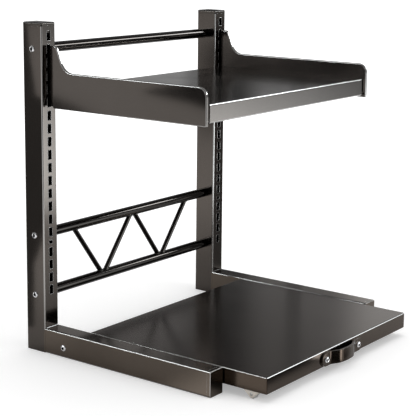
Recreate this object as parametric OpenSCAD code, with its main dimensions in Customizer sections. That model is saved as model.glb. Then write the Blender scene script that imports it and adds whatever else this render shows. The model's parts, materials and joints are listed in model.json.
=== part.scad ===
// Stand for a microwave oven: two slotted side frames joined by round tubes and a truss,
// a hook-on shelf between two panel brackets, and a low tray that rolls out between the feet.
// X runs to the right, Y to the back, Z up. The origin is on the floor, under the middle of the whole.

/* [Side frames] */
// Height from the floor to the top of the upright caps
stand_h = 510; // [500:1:600]
// Width over the outer faces of the two side frames
stand_w = 462; // [400:1:600]
// Length of a foot, from the back of the upright to the front of its end cap
foot_l = 358; // [320:1:420]
// Width of the upright tube and the foot tube, side to side
tube_w = 30; // [27:1:36]
// Depth of the upright tube, which is also the height of the foot tube
tube_d = 39; // [37:0.5:44]
// Wall of the upright and foot tubes
tube_t = 1.5; // [1:0.1:2]
// Corner radius of the upright and foot tubes
tube_r = 2.5; // [2.2:0.1:4]
// Height of the cap on top of an upright
cap_h = 6; // [5:0.5:9]
// Radius of the edges round the top of a cap
cap_r = 3; // [1:0.5:4]
// Depth of the cap on the front end of a foot
foot_cap_l = 6; // [4:0.5:9]
// Radius of the edges round the front of a foot cap
foot_cap_r = 1; // [0.5:0.5:3]
// Length of the spigot that holds a cap in its tube
spigot_l = 10; // [6:1:12]
// Wall of the spigot
spigot_t = 2; // [1.5:0.5:3]

/* [Slots] */
// Distance from one slot to the next
slot_pitch = 20; // [19:0.5:20.5]
// Height of a slot
slot_h = 14.7; // [14.2:0.1:16]
// Width of a slot
slot_w = 8.2; // [5:0.1:9]
// Corner radius of a slot
slot_r = 1; // [0.5:0.1:2]
// Distance from the top of the stand to the top of the first slot
slot_top = 13; // [12:0.5:18]
// Number of slots in the upper row
upper_slots = 16; // [12:1:16]
// Height of the short slot between the two rows
short_slot_h = 6; // [3:0.5:8]
// Number of slots in the lower row
lower_slots = 4; // [1:1:4]

/* [Round tubes and truss] */
// Diameter of the top rail, the truss tubes and the base tube
rail_d = 16; // [13:0.5:18]
// Wall of the round tubes
rail_t = 1.2; // [1:0.1:1.6]
// Distance of the top rail's axis below the top of the stand
top_rail_drop = 40; // [30:1:80]
// Height of the upper truss tube's axis above the floor
truss_top_z = 184; // [160:1:240]
// Height of the lower truss tube's axis above the floor
truss_low_z = 90; // [65:1:120]
// Diameter of the slanting truss rods
rod_d = 8; // [6:0.5:10]
// Sideways run of one truss rod, as a share of the distance from the middle to an upright
rod_run_share = 0.368; // [0.3:0.001:0.45]
// Distance of the base tube's axis in front of the uprights
base_tube_y = 38.5; // [30:0.5:48]
// Height of the base tube's axis above the floor
base_tube_z = 15.5; // [12:0.5:17]

/* [Shelf] */
// Slot that the top hook sits in, counted down from 0 at the top
shelf_slot = 1; // [1:1:11]
// Length of a bracket panel, front to back
bracket_l = 294; // [240:0.5:320]
// Height of a bracket panel at its back
bracket_h = 94; // [92:0.5:98]
// Height of the long front arm of a bracket panel
arm_h = 55; // [50:0.5:60]
// Thickness of a bracket panel
bracket_t = 10; // [9:0.5:12]
// Height of the bracket's top above the slot edge that its top hook sits on
bracket_rise = 13; // [12.5:0.5:14]
// Length of the flat top of the bracket's neck
neck_w = 13; // [12:0.5:16]
// Distance that the front of the neck leans forward on its way down
neck_run = 16; // [10:0.5:24]
// Radius of the hollow curve between the neck and the arm
neck_r = 24; // [12:1:26]
// Radius of the front top corner of a bracket
nose_r = 15; // [8:1:20]
// Radius of the edges round a bracket panel
bracket_edge_r = 1.8; // [1.4:0.1:2.2]
// Free space between the back of a bracket and the upright
hook_reach = 4; // [3:0.5:10]
// Height of the bracket arm above the deck
fence_h = 24.3; // [15:0.1:27]
// Height of the deck's front lip
lip_h = 27; // [22:0.5:27.5]
// Distance that the lip stands back from the front of the brackets
lip_setback = 3; // [1:0.5:8]
// Free space between the end of the lip and a bracket
lip_gap = 5; // [3:0.5:8]
// Depth of the fold under the lip
lip_return = 12; // [8:0.5:16]
// Height of the folds at the sides and back of the deck
deck_flange = 22; // [18:0.5:25]
// Depth of a stiffening rib under the deck
rib_h = 13; // [10:0.5:15]
// Thickness of the sheet that the deck, brackets and tray are folded from
sheet_t = 1.2; // [1:0.1:1.4]
// Radius of the folds, outside
fold_r = 2.4; // [1.8:0.1:3]

/* [Hooks] */
// Thickness of the hook plates
hook_t = 3; // [2.5:0.1:4]
// Height of a hook where it passes through its slot
hook_neck_h = 7; // [6:0.1:7.2]
// Distance that a hook's nose hangs down behind the slot edge
hook_drop = 6; // [4:0.1:6.5]
// Front to back thickness of a hook's nose
hook_nose = 4.5; // [3:0.5:6]

/* [Tray] */
// Depth of the tray, front to back
tray_l = 328; // [280:1:400]
// Height of the tray's folded sides
tray_h = 24.7; // [23:0.1:26]
// Distance of the tray's top below the top of the feet
tray_drop = 1; // [0.5:0.5:2]
// Free space between the tray and a foot
tray_gap = 2; // [1:0.5:4]
// Free space between the back of the tray and the base tube at rest
tray_back_gap = 18.5; // [10:0.5:40]
// Radius of the edges round the top of the tray
tray_edge_r = 1.8; // [1.5:0.1:2.4]
// Height of the guide strips on the inner sides of the feet
guide_h = 12; // [6:0.5:16]

/* [Handle] */
// Distance between the two handle screws
handle_pitch = 92; // [84:1:120]
// Height of the handle strap
handle_h = 20; // [16:0.5:22]
// Thickness of the handle strap
handle_t = 3; // [2:0.5:4]
// Distance that the outside of the bow stands out from the tray
handle_out = 14; // [12:0.5:30]
// Height of the handle's middle line above the floor
handle_z = 24; // [24:0.5:26]

/* [Casters] */
// Diameter of a caster wheel
wheel_d = 14; // [12:0.5:15]
// Width of a caster wheel
wheel_w = 7; // [5:0.5:10]
// Thickness of the caster fork's sheet
fork_t = 1.5; // [1:0.1:2]
// Length of the caster fork at its top
fork_l = 31; // [24:1:32]
// Diameter of a caster axle
axle_d = 3; // [2.5:0.1:4]
// Distance of the front casters behind the front of the tray
caster_front_y = 28; // [22:0.5:60]
// Distance of the rear casters in front of the back of the tray
caster_rear_y = 23.5; // [22:0.5:60]
// Distance of a fork's outer cheek inside the side of the tray
caster_inset = 3; // [2.2:0.1:12]

/* [Screws] */
// Diameter of the frame screws
frame_screw_d = 6; // [5:0.5:7]
// Head diameter of the frame screws
frame_head_d = 10; // [9:0.5:13]
// Head height of the frame screws
frame_head_h = 3.2; // [2.5:0.1:4]
// Diameter of the handle and shelf screws
small_screw_d = 5; // [4:0.5:5]
// Head diameter of the handle and shelf screws
small_head_d = 9.5; // [8:0.5:10]
// Head height of the handle and shelf screws
small_head_h = 3.4; // [2.5:0.1:4]
// Width of the small nuts across their flats
nut_flats = 8; // [7:0.5:9]
// Height of the small nuts
nut_h = 4; // [3:0.1:4]

/* [Hidden] */
$fn = 48;
// Running and seating clearances
fit = 0.05;
slip = 0.3;
hole_slack = 0.25;
over = 1;
// Lengths that go with one piece only
insert_l = 14;
screw_end_gap = 1;
hook_gap = 0.5;
hook_lead = 1.5;
plate_margin = 4;
plate_foot = 3;
back_cut_h = 17;
back_cut_w = 6;
small_r = 2.6;
dimple_r = 3.5;
channel_w = 22;
channel_flange = 8;
rib_w = 34;
rib_flange = 12;
rib_slope = 4;
rib_end_gap = 0.5;
fork_band = 2.6;
fork_point_z = 0.4;
fork_tip_r = 2.5;
wheel_side_gap = 0.4;
wheel_top_gap = 0.8;
wheel_edge_r = 0.8;
axle_head_d = 5.2;
axle_head_t = 0.8;
bow_root_gap = 12;
bow_lean = 15;
bow_root_r = 12;
bow_shoulder_r = 18;
bow_crown = 2.5;
bow_crown_r = 90;
bumper_d = 9;
bumper_out = 4;
bumper_stem_d = 4;
bumper_back_t = 1;
bumper_edge = 2;
guide_end_gap = 4;
// Places of pieces along the piece that carries them, as shares of its length
screw_y_share = [0.2, 0.5, 0.8];
rib_y_share = [0.36, 0.68];
bumper_x_share = 0.6;
dimple_z_share = [0.4, 0.66];
// Slot rows that the hooks sit in, counted down from the top hook
hook_rows = [0, 2, 3];
// Steps round an arc of an outline
arc_n = 6;
edge_n = 3;

x_out = stand_w / 2;
x_mid = x_out - tube_w / 2;
x_in = x_out - tube_w;

// The back of the tray is set by the base tube, so a longer tray stands further out of the feet
tray_reach = tray_back_gap + rail_d / 2 + base_tube_y + tube_d + tray_l - foot_l;
depth_all = foot_l + tray_reach + handle_out;
y_back = depth_all / 2;
y_mid = y_back - tube_d / 2;
y_up = y_back - tube_d;
y_foot = y_back - foot_l;
y_base = y_up - base_tube_y;
top_rail_z = stand_h - top_rail_drop;
foot_tube_l = foot_l - tube_d - foot_cap_l;
rail_rows = [[y_mid, top_rail_z], [y_mid, truss_top_z], [y_mid, truss_low_z], [y_base, base_tube_z]];
truss_bay = x_in * rod_run_share;

// Slots as [middle height, slot height] pairs, from the top down
slot_bridge = slot_pitch - slot_h;
z_first = stand_h - slot_top;
z_short = z_first - upper_slots * slot_pitch;
z_lower = z_short - short_slot_h - slot_bridge;
slots = concat(
    [for (i = [0:upper_slots - 1]) [z_first - i * slot_pitch - slot_h / 2, slot_h]],
    [[z_short - short_slot_h / 2, short_slot_h]],
    [for (i = [0:lower_slots - 1]) [z_lower - i * slot_pitch - slot_h / 2, slot_h]]);

// Shelf heights follow the slot edge that the top hook sits on
seat_z = z_first - slot_h - shelf_slot * slot_pitch;
bracket_z = seat_z + bracket_rise - bracket_h;
deck_z = bracket_z + arm_h - fence_h;
y_bracket = y_up - hook_reach;
y_lip = y_bracket - bracket_l + lip_setback;
deck_l = y_bracket - y_lip;
x_panel = x_mid - bracket_t / 2;
x_deck = x_panel - fit;
x_lip = x_panel - lip_gap;
deck_screw_z = deck_z - deck_flange / 2 - sheet_t;
deck_screw_ys = [for (s = screw_y_share) y_bracket - deck_l * s];

tray_top_z = tube_d - tray_drop;
tray_z = tray_top_z - tray_h;
tray_w = 2 * (x_in - tray_gap);
y_tray = y_foot - tray_reach;
y_tray_back = y_tray + tray_l;
pan_z = tray_top_z - sheet_t;
wheel_r = wheel_d / 2;
fork_in = wheel_w / 2 + wheel_side_gap;
fork_out = fork_in + fork_t;
fork_top_z = wheel_d + wheel_top_gap + fork_t;
x_caster = tray_w / 2 - caster_inset - fork_out;
y_caster_front = y_tray + caster_front_y;
y_caster_rear = y_tray_back - caster_rear_y;
bumper_z = tray_z + bumper_d / 2 + bumper_edge;

// Outlines

function unit(v) = v / norm(v);
function plan(p) = [p.x, p.y];
function left_of(v) = [-v.y, v.x];
function back_to_front(list) = [for (i = [len(list) - 1:-1:0]) list[i]];

// Arc of radius r in the corner at b between the edges from a and to c
function corner_arc(a, b, c, r, n) =
    let (u = unit(a - b), v = unit(c - b), half = acos(u * v) / 2,
         o = b + unit(u + v) * r / sin(half),
         s = b + u * r / tan(half) - o, e = b + v * r / tan(half) - o,
         start = atan2(s.y, s.x), turn = atan2(e.y, e.x) - start,
         sweep = turn > 180 ? turn - 360 : turn < -180 ? turn + 360 : turn)
    [for (k = [0:n]) o + r * [cos(start + sweep * k / n), sin(start + sweep * k / n)]];

// Closed outline with the radius in each corner's third number
function rounded(c, n = arc_n) = let (m = len(c))
    [for (i = [0:m - 1]) each corner_arc(plan(c[(i + m - 1) % m]), plan(c[i]), plan(c[(i + 1) % m]), c[i].z, n)];

// Same corners moved in by d, with the radii changed to match; the outline runs anticlockwise
function inset(c, d) = let (m = len(c))
    [for (i = [0:m - 1])
        let (b = plan(c[i]), u = unit(plan(c[(i + m - 1) % m]) - b), v = unit(plan(c[(i + 1) % m]) - b),
             out = cross(v, u) > 0 ? 1 : -1, p = b + out * unit(u + v) * d / sin(acos(u * v) / 2))
        [p.x, p.y, c[i].z - out * d]];

// Open path of bends moved to its left by d
function beside(c, d) = let (m = len(c))
    [for (i = [0:m - 1])
        let (b = plan(c[i]),
             u = i == 0 ? unit(plan(c[1]) - b) : unit(b - plan(c[i - 1])),
             v = i == m - 1 ? u : unit(plan(c[i + 1]) - b),
             mid = unit(left_of(u) + left_of(v)), p = b + mid * d / (mid * left_of(u)),
             bend = cross(u, v) > 0 ? 1 : -1)
        [p.x, p.y, c[i].z - bend * d]];
function bent(c, n) = let (m = len(c))
    [for (i = [0:m - 1])
        each i == 0 || i == m - 1 ? [plan(c[i])] : corner_arc(plan(c[i - 1]), plan(c[i]), plan(c[i + 1]), c[i].z, n)];

// Section of a sheet of thickness t bent along a path of [across, up, middle radius] corners
function sheet(c, t, n = arc_n) = concat(bent(beside(c, t / 2), n), back_to_front(bent(beside(c, -t / 2), n)));

module round_rect(w, d, r) {
    square([w - 2 * r, d], center = true);
    square([w, d - 2 * r], center = true);
    for (x = [-1, 1], y = [-1, 1]) translate([x * (w / 2 - r), y * (d / 2 - r)]) circle(r);
}

// Upright rectangle on the X axis with its two top corners rounded
module top_round(w, h, r) {
    translate([-w / 2, 0]) square([w, h - r]);
    translate([r - w / 2, 0]) square([w - 2 * r, h]);
    for (x = [-1, 1]) translate([x * (w / 2 - r), h - r]) circle(r);
}

// Extrusions of an outline: along X from [Y, Z], and along Y from [X, Z]
module along_x(l) { rotate([90, 0, 90]) linear_extrude(l, center = true) children(); }
module along_y(l) { rotate([90, 0, 0]) linear_extrude(l, center = true) children(); }
module x_bar(d, l) { rotate([0, 90, 0]) cylinder(d = d, h = l, center = true); }

// Block with rounded upright corners and rounded top edges
module soft_block(w, d, h, r, edge_r) {
    intersection() {
        linear_extrude(h) round_rect(w, d, r);
        along_y(d) top_round(w, h, edge_r);
        along_x(w) top_round(d, h, edge_r);
    }
}

// Solid through a row of equal rings of points, closed at both ends
module loft(rings) {
    n = len(rings[0]);
    last = (len(rings) - 1) * n;
    polyhedron(points = [for (r = rings) each r], faces = concat(
        [[for (i = [0:n - 1]) i]],
        [for (k = [0:len(rings) - 2], i = [0:n - 1]) let (j = (i + 1) % n) [k * n + j, k * n + i, (k + 1) * n + i]],
        [for (k = [0:len(rings) - 2], i = [0:n - 1]) let (j = (i + 1) % n) [k * n + j, (k + 1) * n + i, (k + 1) * n + j]],
        [[for (i = [n - 1:-1:0]) last + i]]));
}

// Draws a right-hand piece on side 1 and its mirror image on side -1
module on_side(s) { mirror([s < 0 ? 1 : 0, 0, 0]) children(); }

// Side frames

module tube_ring() {
    difference() {
        round_rect(tube_w, tube_d, tube_r);
        round_rect(tube_w - 2 * tube_t, tube_d - 2 * tube_t, tube_r - tube_t);
    }
}

module slot_cuts() {
    for (s = slots)
        translate([x_mid, y_up + tube_t / 2, s[0]]) along_y(tube_t + 2 * over)
            polygon(rounded([
                [-slot_w / 2, -s[1] / 2, slot_r], [slot_w / 2, -s[1] / 2, slot_r],
                [slot_w / 2, s[1] / 2, slot_r], [-slot_w / 2, s[1] / 2, slot_r]], edge_n));
}

module frame_screw_holes(rows) {
    for (r = rows) translate([x_mid, r[0], r[1]]) x_bar(frame_screw_d + 2 * hole_slack, tube_w + 2 * over);
}

module upright(s) {
    color("#4a4541") on_side(s) difference() {
        translate([x_mid, y_mid, 0]) linear_extrude(stand_h - cap_h) tube_ring();
        slot_cuts();
        frame_screw_holes([for (i = [0:2]) rail_rows[i]]);
    }
}

module foot(s) {
    color("#4a4541") on_side(s) difference() {
        translate([x_mid, y_up - foot_tube_l / 2, tube_d / 2]) along_y(foot_tube_l) tube_ring();
        frame_screw_holes([rail_rows[3]]);
    }
}

// Cap that stands on a tube end at z 0, with its spigot below
module tube_cap(h, edge_r) {
    spigot_w = tube_w - 2 * tube_t - 2 * fit;
    spigot_d = tube_d - 2 * tube_t - 2 * fit;
    spigot_r = tube_r - tube_t;
    soft_block(tube_w, tube_d, h, tube_r, edge_r);
    translate([0, 0, -spigot_l]) linear_extrude(spigot_l + edge_r / 2) difference() {
        round_rect(spigot_w, spigot_d, spigot_r);
        round_rect(spigot_w - 2 * spigot_t, spigot_d - 2 * spigot_t, spigot_r);
    }
}

module upright_cap(s) {
    color("#46423f") on_side(s) translate([x_mid, y_mid, stand_h - cap_h]) tube_cap(cap_h, cap_r);
}

module foot_cap(s) {
    color("#46423f") on_side(s)
        translate([x_mid, y_foot + foot_cap_l, tube_d / 2]) rotate([90, 0, 0]) tube_cap(foot_cap_l, foot_cap_r);
}

// Round tubes and truss

module round_tube(row) {
    color("#3c3835") translate([0, row[0], row[1]]) difference() {
        x_bar(rail_d, 2 * x_in);
        x_bar(rail_d - 2 * rail_t, 2 * (x_in + over));
    }
}

module top_rail() { round_tube(rail_rows[0]); }
module truss_top_tube() { round_tube(rail_rows[1]); }
module truss_bottom_tube() { round_tube(rail_rows[2]); }
module base_tube() { round_tube(rail_rows[3]); }

// Rod k of the zigzag, its ends shaped to the tubes that it is welded to
module truss_rod(k) {
    x0 = (k - 2) * truss_bay;
    rise = (k % 2 == 0 ? -1 : 1) * (truss_top_z - truss_low_z);
    z0 = k % 2 == 0 ? truss_top_z : truss_low_z;
    rod_l = norm([truss_bay, rise]);
    color("#3c3835") translate([0, y_mid, 0]) difference() {
        intersection() {
            translate([x0, 0, z0]) rotate([0, 90 - atan2(rise, truss_bay), 0]) cylinder(d = rod_d, h = rod_l);
            translate([x0 + fit, -rod_d, truss_low_z]) cube([truss_bay - 2 * fit, 2 * rod_d, abs(rise)]);
        }
        for (z = [truss_low_z, truss_top_z]) translate([0, 0, z]) x_bar(rail_d + 2 * fit, 2 * x_in);
    }
}

// Threaded plugs in both ends of each round tube
module tube_inserts() {
    color("#8c8c8a") for (s = [1, -1], r = rail_rows) on_side(s)
        translate([x_in - insert_l / 2, r[0], r[1]]) difference() {
            x_bar(rail_d - 2 * rail_t - 2 * fit, insert_l);
            x_bar(frame_screw_d + 2 * fit, insert_l + 2 * over);
        }
}

// Domed screw with a hexagon socket, its head above z 0 and its shank below
module dome_screw(d, l, head_d, head_h) {
    difference() {
        union() {
            rotate_extrude() polygon(concat([[0, 0]],
                [for (k = [0:arc_n]) [head_d / 2 * cos(90 * k / arc_n), head_h * sin(90 * k / arc_n)]]));
            translate([0, 0, -l]) cylinder(d = d, h = l + head_h / 2);
        }
        translate([0, 0, head_h / 2]) cylinder(d = head_d / 2, h = head_h, $fn = 6);
    }
}

module frame_screws(s) {
    color("#d8d9dc") on_side(s) for (r = rail_rows) translate([x_out, r[0], r[1]]) rotate([0, 90, 0])
        dome_screw(frame_screw_d, tube_w + insert_l - screw_end_gap, frame_head_d, frame_head_h);
}

// Wear strip on the inner side of a foot that the tray runs along
module guide_strip(s) {
    front = y_foot + foot_cap_l + guide_end_gap;
    back = y_base - rail_d / 2 - guide_end_gap;
    thick = tray_gap - slip;
    color("#26252a") on_side(s) translate([x_in - thick / 2, (front + back) / 2, tray_z + tray_h / 2])
        along_x(thick) round_rect(back - front, guide_h, guide_h / 4);
}

// Shelf

// Side outline of a bracket panel in [Y, Z], measured from its back bottom corner
bracket_corners = [
    [0, back_cut_h, small_r],
    [0, bracket_h, small_r],
    [-neck_w, bracket_h, small_r * 2],
    [-neck_w - neck_run, arm_h, neck_r],
    [-bracket_l, arm_h, nose_r],
    [-bracket_l, 0, small_r],
    [-back_cut_w, 0, small_r]];

function bracket_ring(x, d) = [for (p = rounded(inset(bracket_corners, d))) [x, p.x, p.y]];

// Half of a bracket panel: a dished sheet with rounded edges, its open side on x 0
module bracket_shell() {
    half = bracket_t / 2;
    e = bracket_edge_r;
    plate_half = hook_t / 2 + fit;
    difference() {
        loft(concat([bracket_ring(0, 0)],
            [for (k = [0:edge_n]) bracket_ring(half - e + e * sin(90 * k / edge_n), e - e * cos(90 * k / edge_n))]));
        translate([(half - sheet_t - over) / 2, 0, 0]) along_x(half - sheet_t + over)
            polygon(rounded(inset(bracket_corners, sheet_t)));
        translate([-over, -back_cut_w - 2 * sheet_t, plate_foot - fit])
            cube([plate_half + over, back_cut_w + 2 * sheet_t + over, bracket_h - plate_margin - plate_foot + 2 * fit]);
    }
    for (share = dimple_z_share) translate([(plate_half + half - sheet_t / 2) / 2, -neck_w / 2, bracket_h * share])
        x_bar(2 * dimple_r, half - sheet_t / 2 - plate_half);
}

module at_bracket() { translate([x_mid, y_bracket, bracket_z]) children(); }

module bracket_shell_outer(s) {
    color("#4d4844") on_side(s) at_bracket() bracket_shell();
}

module bracket_shell_inner(s) {
    color("#46423f") on_side(s) difference() {
        at_bracket() mirror([1, 0, 0]) bracket_shell();
        for (y = deck_screw_ys) translate([x_panel, y, deck_screw_z]) x_bar(small_screw_d + 2 * hole_slack, 4 * sheet_t);
    }
}

// One hook in [Y, Z], with the slot edge at z 0 and the plate's back edge at y 0
module hook_outline() {
    nose_y = slip + tube_t + hook_gap;
    polygon([
        [-over, slip], [nose_y, slip], [nose_y, slip - hook_drop], [nose_y + hook_nose - hook_lead, slip - hook_drop],
        [nose_y + hook_nose, slip - hook_drop + 2 * hook_lead], [nose_y + hook_nose, slip + hook_neck_h - hook_lead],
        [nose_y + hook_nose - hook_lead, slip + hook_neck_h], [-over, slip + hook_neck_h]]);
}

module hook_plate(s) {
    back = hook_reach - slip;
    front = neck_w + neck_run - plate_margin;
    top = bracket_h - plate_margin;
    color("#2f2d2b") on_side(s) at_bracket() along_x(hook_t) {
        polygon([[back, plate_foot], [back, top], [plate_margin - neck_w, top], [-front, arm_h], [-front, plate_foot]]);
        for (row = hook_rows) translate([back, bracket_h - bracket_rise - row * slot_pitch]) hook_outline();
    }
}

// Deck folded from one sheet: lip and return in front, flanges at the back and sides
module shelf_deck() {
    mid_r = fold_r - sheet_t / 2;
    half = sheet_t / 2;
    side_l = deck_l - lip_gap;
    color("#3e3b39") difference() {
        union() {
            along_x(2 * x_lip) polygon(sheet([
                [y_lip + lip_return, deck_z - lip_h + half, 0],
                [y_lip + half, deck_z - lip_h + half, mid_r],
                [y_lip + half, deck_z - half, mid_r],
                [y_bracket - half, deck_z - half, mid_r],
                [y_bracket - half, deck_z - deck_flange, 0]], sheet_t));
            for (s = [1, -1]) on_side(s) translate([0, y_bracket - fold_r - side_l / 2, 0]) along_y(side_l - fold_r)
                polygon(sheet([
                    [x_deck - half, deck_z - deck_flange, 0],
                    [x_deck - half, deck_z - half, mid_r],
                    [x_lip - lip_gap, deck_z - half, 0]], sheet_t));
        }
        for (s = [1, -1], y = deck_screw_ys) on_side(s)
            translate([x_deck, y, deck_screw_z]) x_bar(small_screw_d + 2 * hole_slack, 4 * sheet_t);
    }
}

// Hat-shaped rib whose flanges lie against the underside of the deck
module deck_rib(share) {
    top = deck_z - sheet_t - sheet_t / 2;
    bottom = top - rib_h;
    mid_r = fold_r - sheet_t / 2;
    color("#3a3735") translate([0, y_bracket - deck_l * share, 0])
        along_x(2 * (x_deck - sheet_t - rib_end_gap)) polygon(sheet([
            [-rib_w / 2 - rib_flange, top, 0],
            [-rib_w / 2, top, mid_r],
            [-rib_w / 2 + rib_slope, bottom, mid_r],
            [rib_w / 2 - rib_slope, bottom, mid_r],
            [rib_w / 2, top, mid_r],
            [rib_w / 2 + rib_flange, top, 0]], sheet_t));
}

module shelf_screws() {
    color("#c9cacc") for (s = [1, -1], y = deck_screw_ys) on_side(s)
        translate([x_deck - sheet_t, y, deck_screw_z]) rotate([0, -90, 0])
            dome_screw(small_screw_d, 2 * sheet_t + nut_h, small_head_d, small_head_h);
}

module hex_nut() {
    difference() {
        cylinder(d = nut_flats / cos(180 / 6), h = nut_h, $fn = 6);
        translate([0, 0, -over]) cylinder(d = small_screw_d + 2 * fit, h = nut_h + 2 * over);
    }
}

module shelf_nuts() {
    color("#9a9a98") for (s = [1, -1], y = deck_screw_ys) on_side(s)
        translate([x_panel + sheet_t + fit, y, deck_screw_z]) rotate([0, 90, 0]) hex_nut();
}

// Tray

module at_tray_middle() { translate([0, y_tray + tray_l / 2, tray_z]) children(); }

module tray_pan() {
    color("#413e3c") difference() {
        at_tray_middle() soft_block(tray_w, tray_l, tray_h, tray_edge_r, tray_edge_r);
        translate([0, 0, -over]) at_tray_middle() soft_block(tray_w - 2 * sheet_t, tray_l - 2 * sheet_t,
            tray_h - sheet_t + over, tray_edge_r - sheet_t, tray_edge_r - sheet_t);
        for (s = [1, -1]) translate([s * handle_pitch / 2, y_tray, handle_z]) rotate([90, 0, 0])
            cylinder(d = small_screw_d + 2 * hole_slack, h = 4 * sheet_t, center = true);
        for (s = [1, -1]) translate([s * tray_w / 2 * bumper_x_share, y_tray_back, bumper_z]) rotate([90, 0, 0])
            cylinder(d = bumper_stem_d + 2 * fit, h = 4 * sheet_t, center = true);
    }
}

// Channel across the tray that carries two casters, its flanges against the pan
module tray_channel(y) {
    top = pan_z - sheet_t / 2;
    bottom = fork_top_z + sheet_t / 2;
    mid_r = fold_r - sheet_t / 2;
    color("#3a3735") translate([0, y, 0]) along_x(tray_w - 2 * sheet_t - 2 * rib_end_gap) polygon(sheet([
        [-channel_w / 2 - channel_flange, top, 0],
        [-channel_w / 2, top, mid_r],
        [-channel_w / 2, bottom, mid_r],
        [channel_w / 2, bottom, mid_r],
        [channel_w / 2, top, mid_r],
        [channel_w / 2 + channel_flange, top, 0]], sheet_t));
}

// Rubber buttons that stop the tray against the base tube
module tray_bumpers() {
    color("#1c1c1c") for (s = [1, -1]) translate([s * tray_w / 2 * bumper_x_share, y_tray_back, bumper_z])
        rotate([-90, 0, 0]) {
            cylinder(d1 = bumper_d, d2 = bumper_d - bumper_back_t, h = bumper_out);
            translate([0, 0, -sheet_t - bumper_back_t]) cylinder(d = bumper_stem_d, h = sheet_t + 2 * bumper_back_t);
            translate([0, 0, -sheet_t - bumper_back_t]) cylinder(d = bumper_d, h = bumper_back_t);
        }
}

// Handle: one strap bent into a bow between two round-ended tabs
module handle_strap() {
    root = handle_pitch / 2 - bow_root_gap;
    depth = handle_out - handle_t / 2;
    tab_end = handle_pitch / 2 + handle_h / 2 + handle_t / 2;
    half_path = [
        [tab_end, -handle_t / 2, 0],
        [root, -handle_t / 2, bow_root_r],
        [root - bow_lean, bow_crown - depth, bow_shoulder_r],
        [0, -depth, bow_crown_r]];
    path = concat(half_path, [for (i = [2:-1:0]) [-half_path[i].x, half_path[i].y, half_path[i].z]]);
    color("#4a4541") translate([0, y_tray, handle_z]) difference() {
        intersection() {
            linear_extrude(handle_h, center = true) polygon(sheet(path, handle_t, 2 * arc_n));
            translate([0, -handle_out / 2, 0]) along_y(handle_out + 2 * over) round_rect(2 * tab_end, handle_h, handle_h / 2 - fit);
        }
        for (s = [1, -1]) translate([s * handle_pitch / 2, 0, 0]) rotate([90, 0, 0])
            cylinder(d = small_screw_d + 2 * hole_slack, h = 3 * handle_t, center = true);
    }
}

module handle_screws() {
    color("#d8d9dc") for (s = [1, -1]) translate([s * handle_pitch / 2, y_tray - handle_t, handle_z])
        rotate([90, 0, 0]) dome_screw(small_screw_d, handle_t + sheet_t + nut_h, small_head_d, small_head_h);
}

module handle_nuts() {
    color("#9a9a98") for (s = [1, -1]) translate([s * handle_pitch / 2, y_tray + sheet_t, handle_z])
        rotate([-90, 0, 0]) hex_nut();
}

// Casters

module at_caster(s, y) { translate([s * x_caster, y, 0]) children(); }

// Fork bent from one strip, with two pointed cheeks
module caster_fork(s, y) {
    top = fork_top_z - fork_t / 2;
    cheek = fork_in + fork_t / 2;
    color("#d9d2c2") at_caster(s, y) difference() {
        intersection() {
            along_y(fork_l + 2 * over) polygon(sheet([
                [-cheek, 0, 0], [-cheek, top, fork_t], [cheek, top, fork_t], [cheek, 0, 0]], fork_t));
            along_x(2 * fork_out + 2 * over) polygon(rounded([
                [0, fork_point_z, fork_tip_r],
                [fork_l / 2, fork_top_z - fork_band, fork_t],
                [fork_l / 2, fork_top_z, fit],
                [-fork_l / 2, fork_top_z, fit],
                [-fork_l / 2, fork_top_z - fork_band, fork_t]]));
        }
        translate([0, 0, wheel_r]) x_bar(axle_d + 2 * fit, 2 * fork_out + 2 * over);
    }
}

module caster_axles() {
    color("#c2beb2") for (s = [1, -1], y = [y_caster_front, y_caster_rear]) at_caster(s, y) translate([0, 0, wheel_r]) {
        x_bar(axle_d, 2 * fork_out + axle_head_t);
        for (e = [1, -1]) translate([e * (fork_out + axle_head_t / 2), 0, 0]) x_bar(axle_head_d, axle_head_t);
    }
}

module caster_wheel(s, y) {
    half = wheel_w / 2;
    bore = axle_d / 2 + fit;
    color("#dcdcd8") at_caster(s, y) translate([0, 0, wheel_r]) rotate([0, 90, 0]) rotate_extrude()
        polygon(concat([[bore, -half], [bore, half]],
            [for (e = [1, -1], k = [0:edge_n])
                let (a = e > 0 ? 90 - 90 * k / edge_n : -90 * k / edge_n)
                [wheel_r - wheel_edge_r + wheel_edge_r * cos(a), e * (half - wheel_edge_r) + wheel_edge_r * sin(a)]]));
}

upright(-1);  // upright_left
upright(1);  // upright_right
foot(-1);  // foot_left
foot(1);  // foot_right
upright_cap(-1);  // upright_cap_left
upright_cap(1);  // upright_cap_right
foot_cap(-1);  // foot_cap_left
foot_cap(1);  // foot_cap_right
top_rail();
truss_top_tube();
truss_bottom_tube();
base_tube();
truss_rod(0);  // truss_rod_1
truss_rod(1);  // truss_rod_2
truss_rod(2);  // truss_rod_3
truss_rod(3);  // truss_rod_4
tube_inserts();
frame_screws(-1);  // frame_screws_left
frame_screws(1);  // frame_screws_right
guide_strip(-1);  // guide_strip_left
guide_strip(1);  // guide_strip_right
shelf_deck();
deck_rib(rib_y_share[1]);  // deck_rib_front
deck_rib(rib_y_share[0]);  // deck_rib_rear
bracket_shell_outer(-1);  // bracket_shell_outer_left
bracket_shell_inner(-1);  // bracket_shell_inner_left
hook_plate(-1);  // hook_plate_left
bracket_shell_outer(1);  // bracket_shell_outer_right
bracket_shell_inner(1);  // bracket_shell_inner_right
hook_plate(1);  // hook_plate_right
shelf_screws();
shelf_nuts();
tray_pan();
tray_channel(y_caster_front);  // tray_channel_front
tray_channel(y_caster_rear);  // tray_channel_rear
tray_bumpers();
handle_strap();
handle_screws();
handle_nuts();
caster_fork(-1, y_caster_front);  // fork_front_left
caster_fork(1, y_caster_front);  // fork_front_right
caster_fork(-1, y_caster_rear);  // fork_rear_left
caster_fork(1, y_caster_rear);  // fork_rear_right
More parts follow.
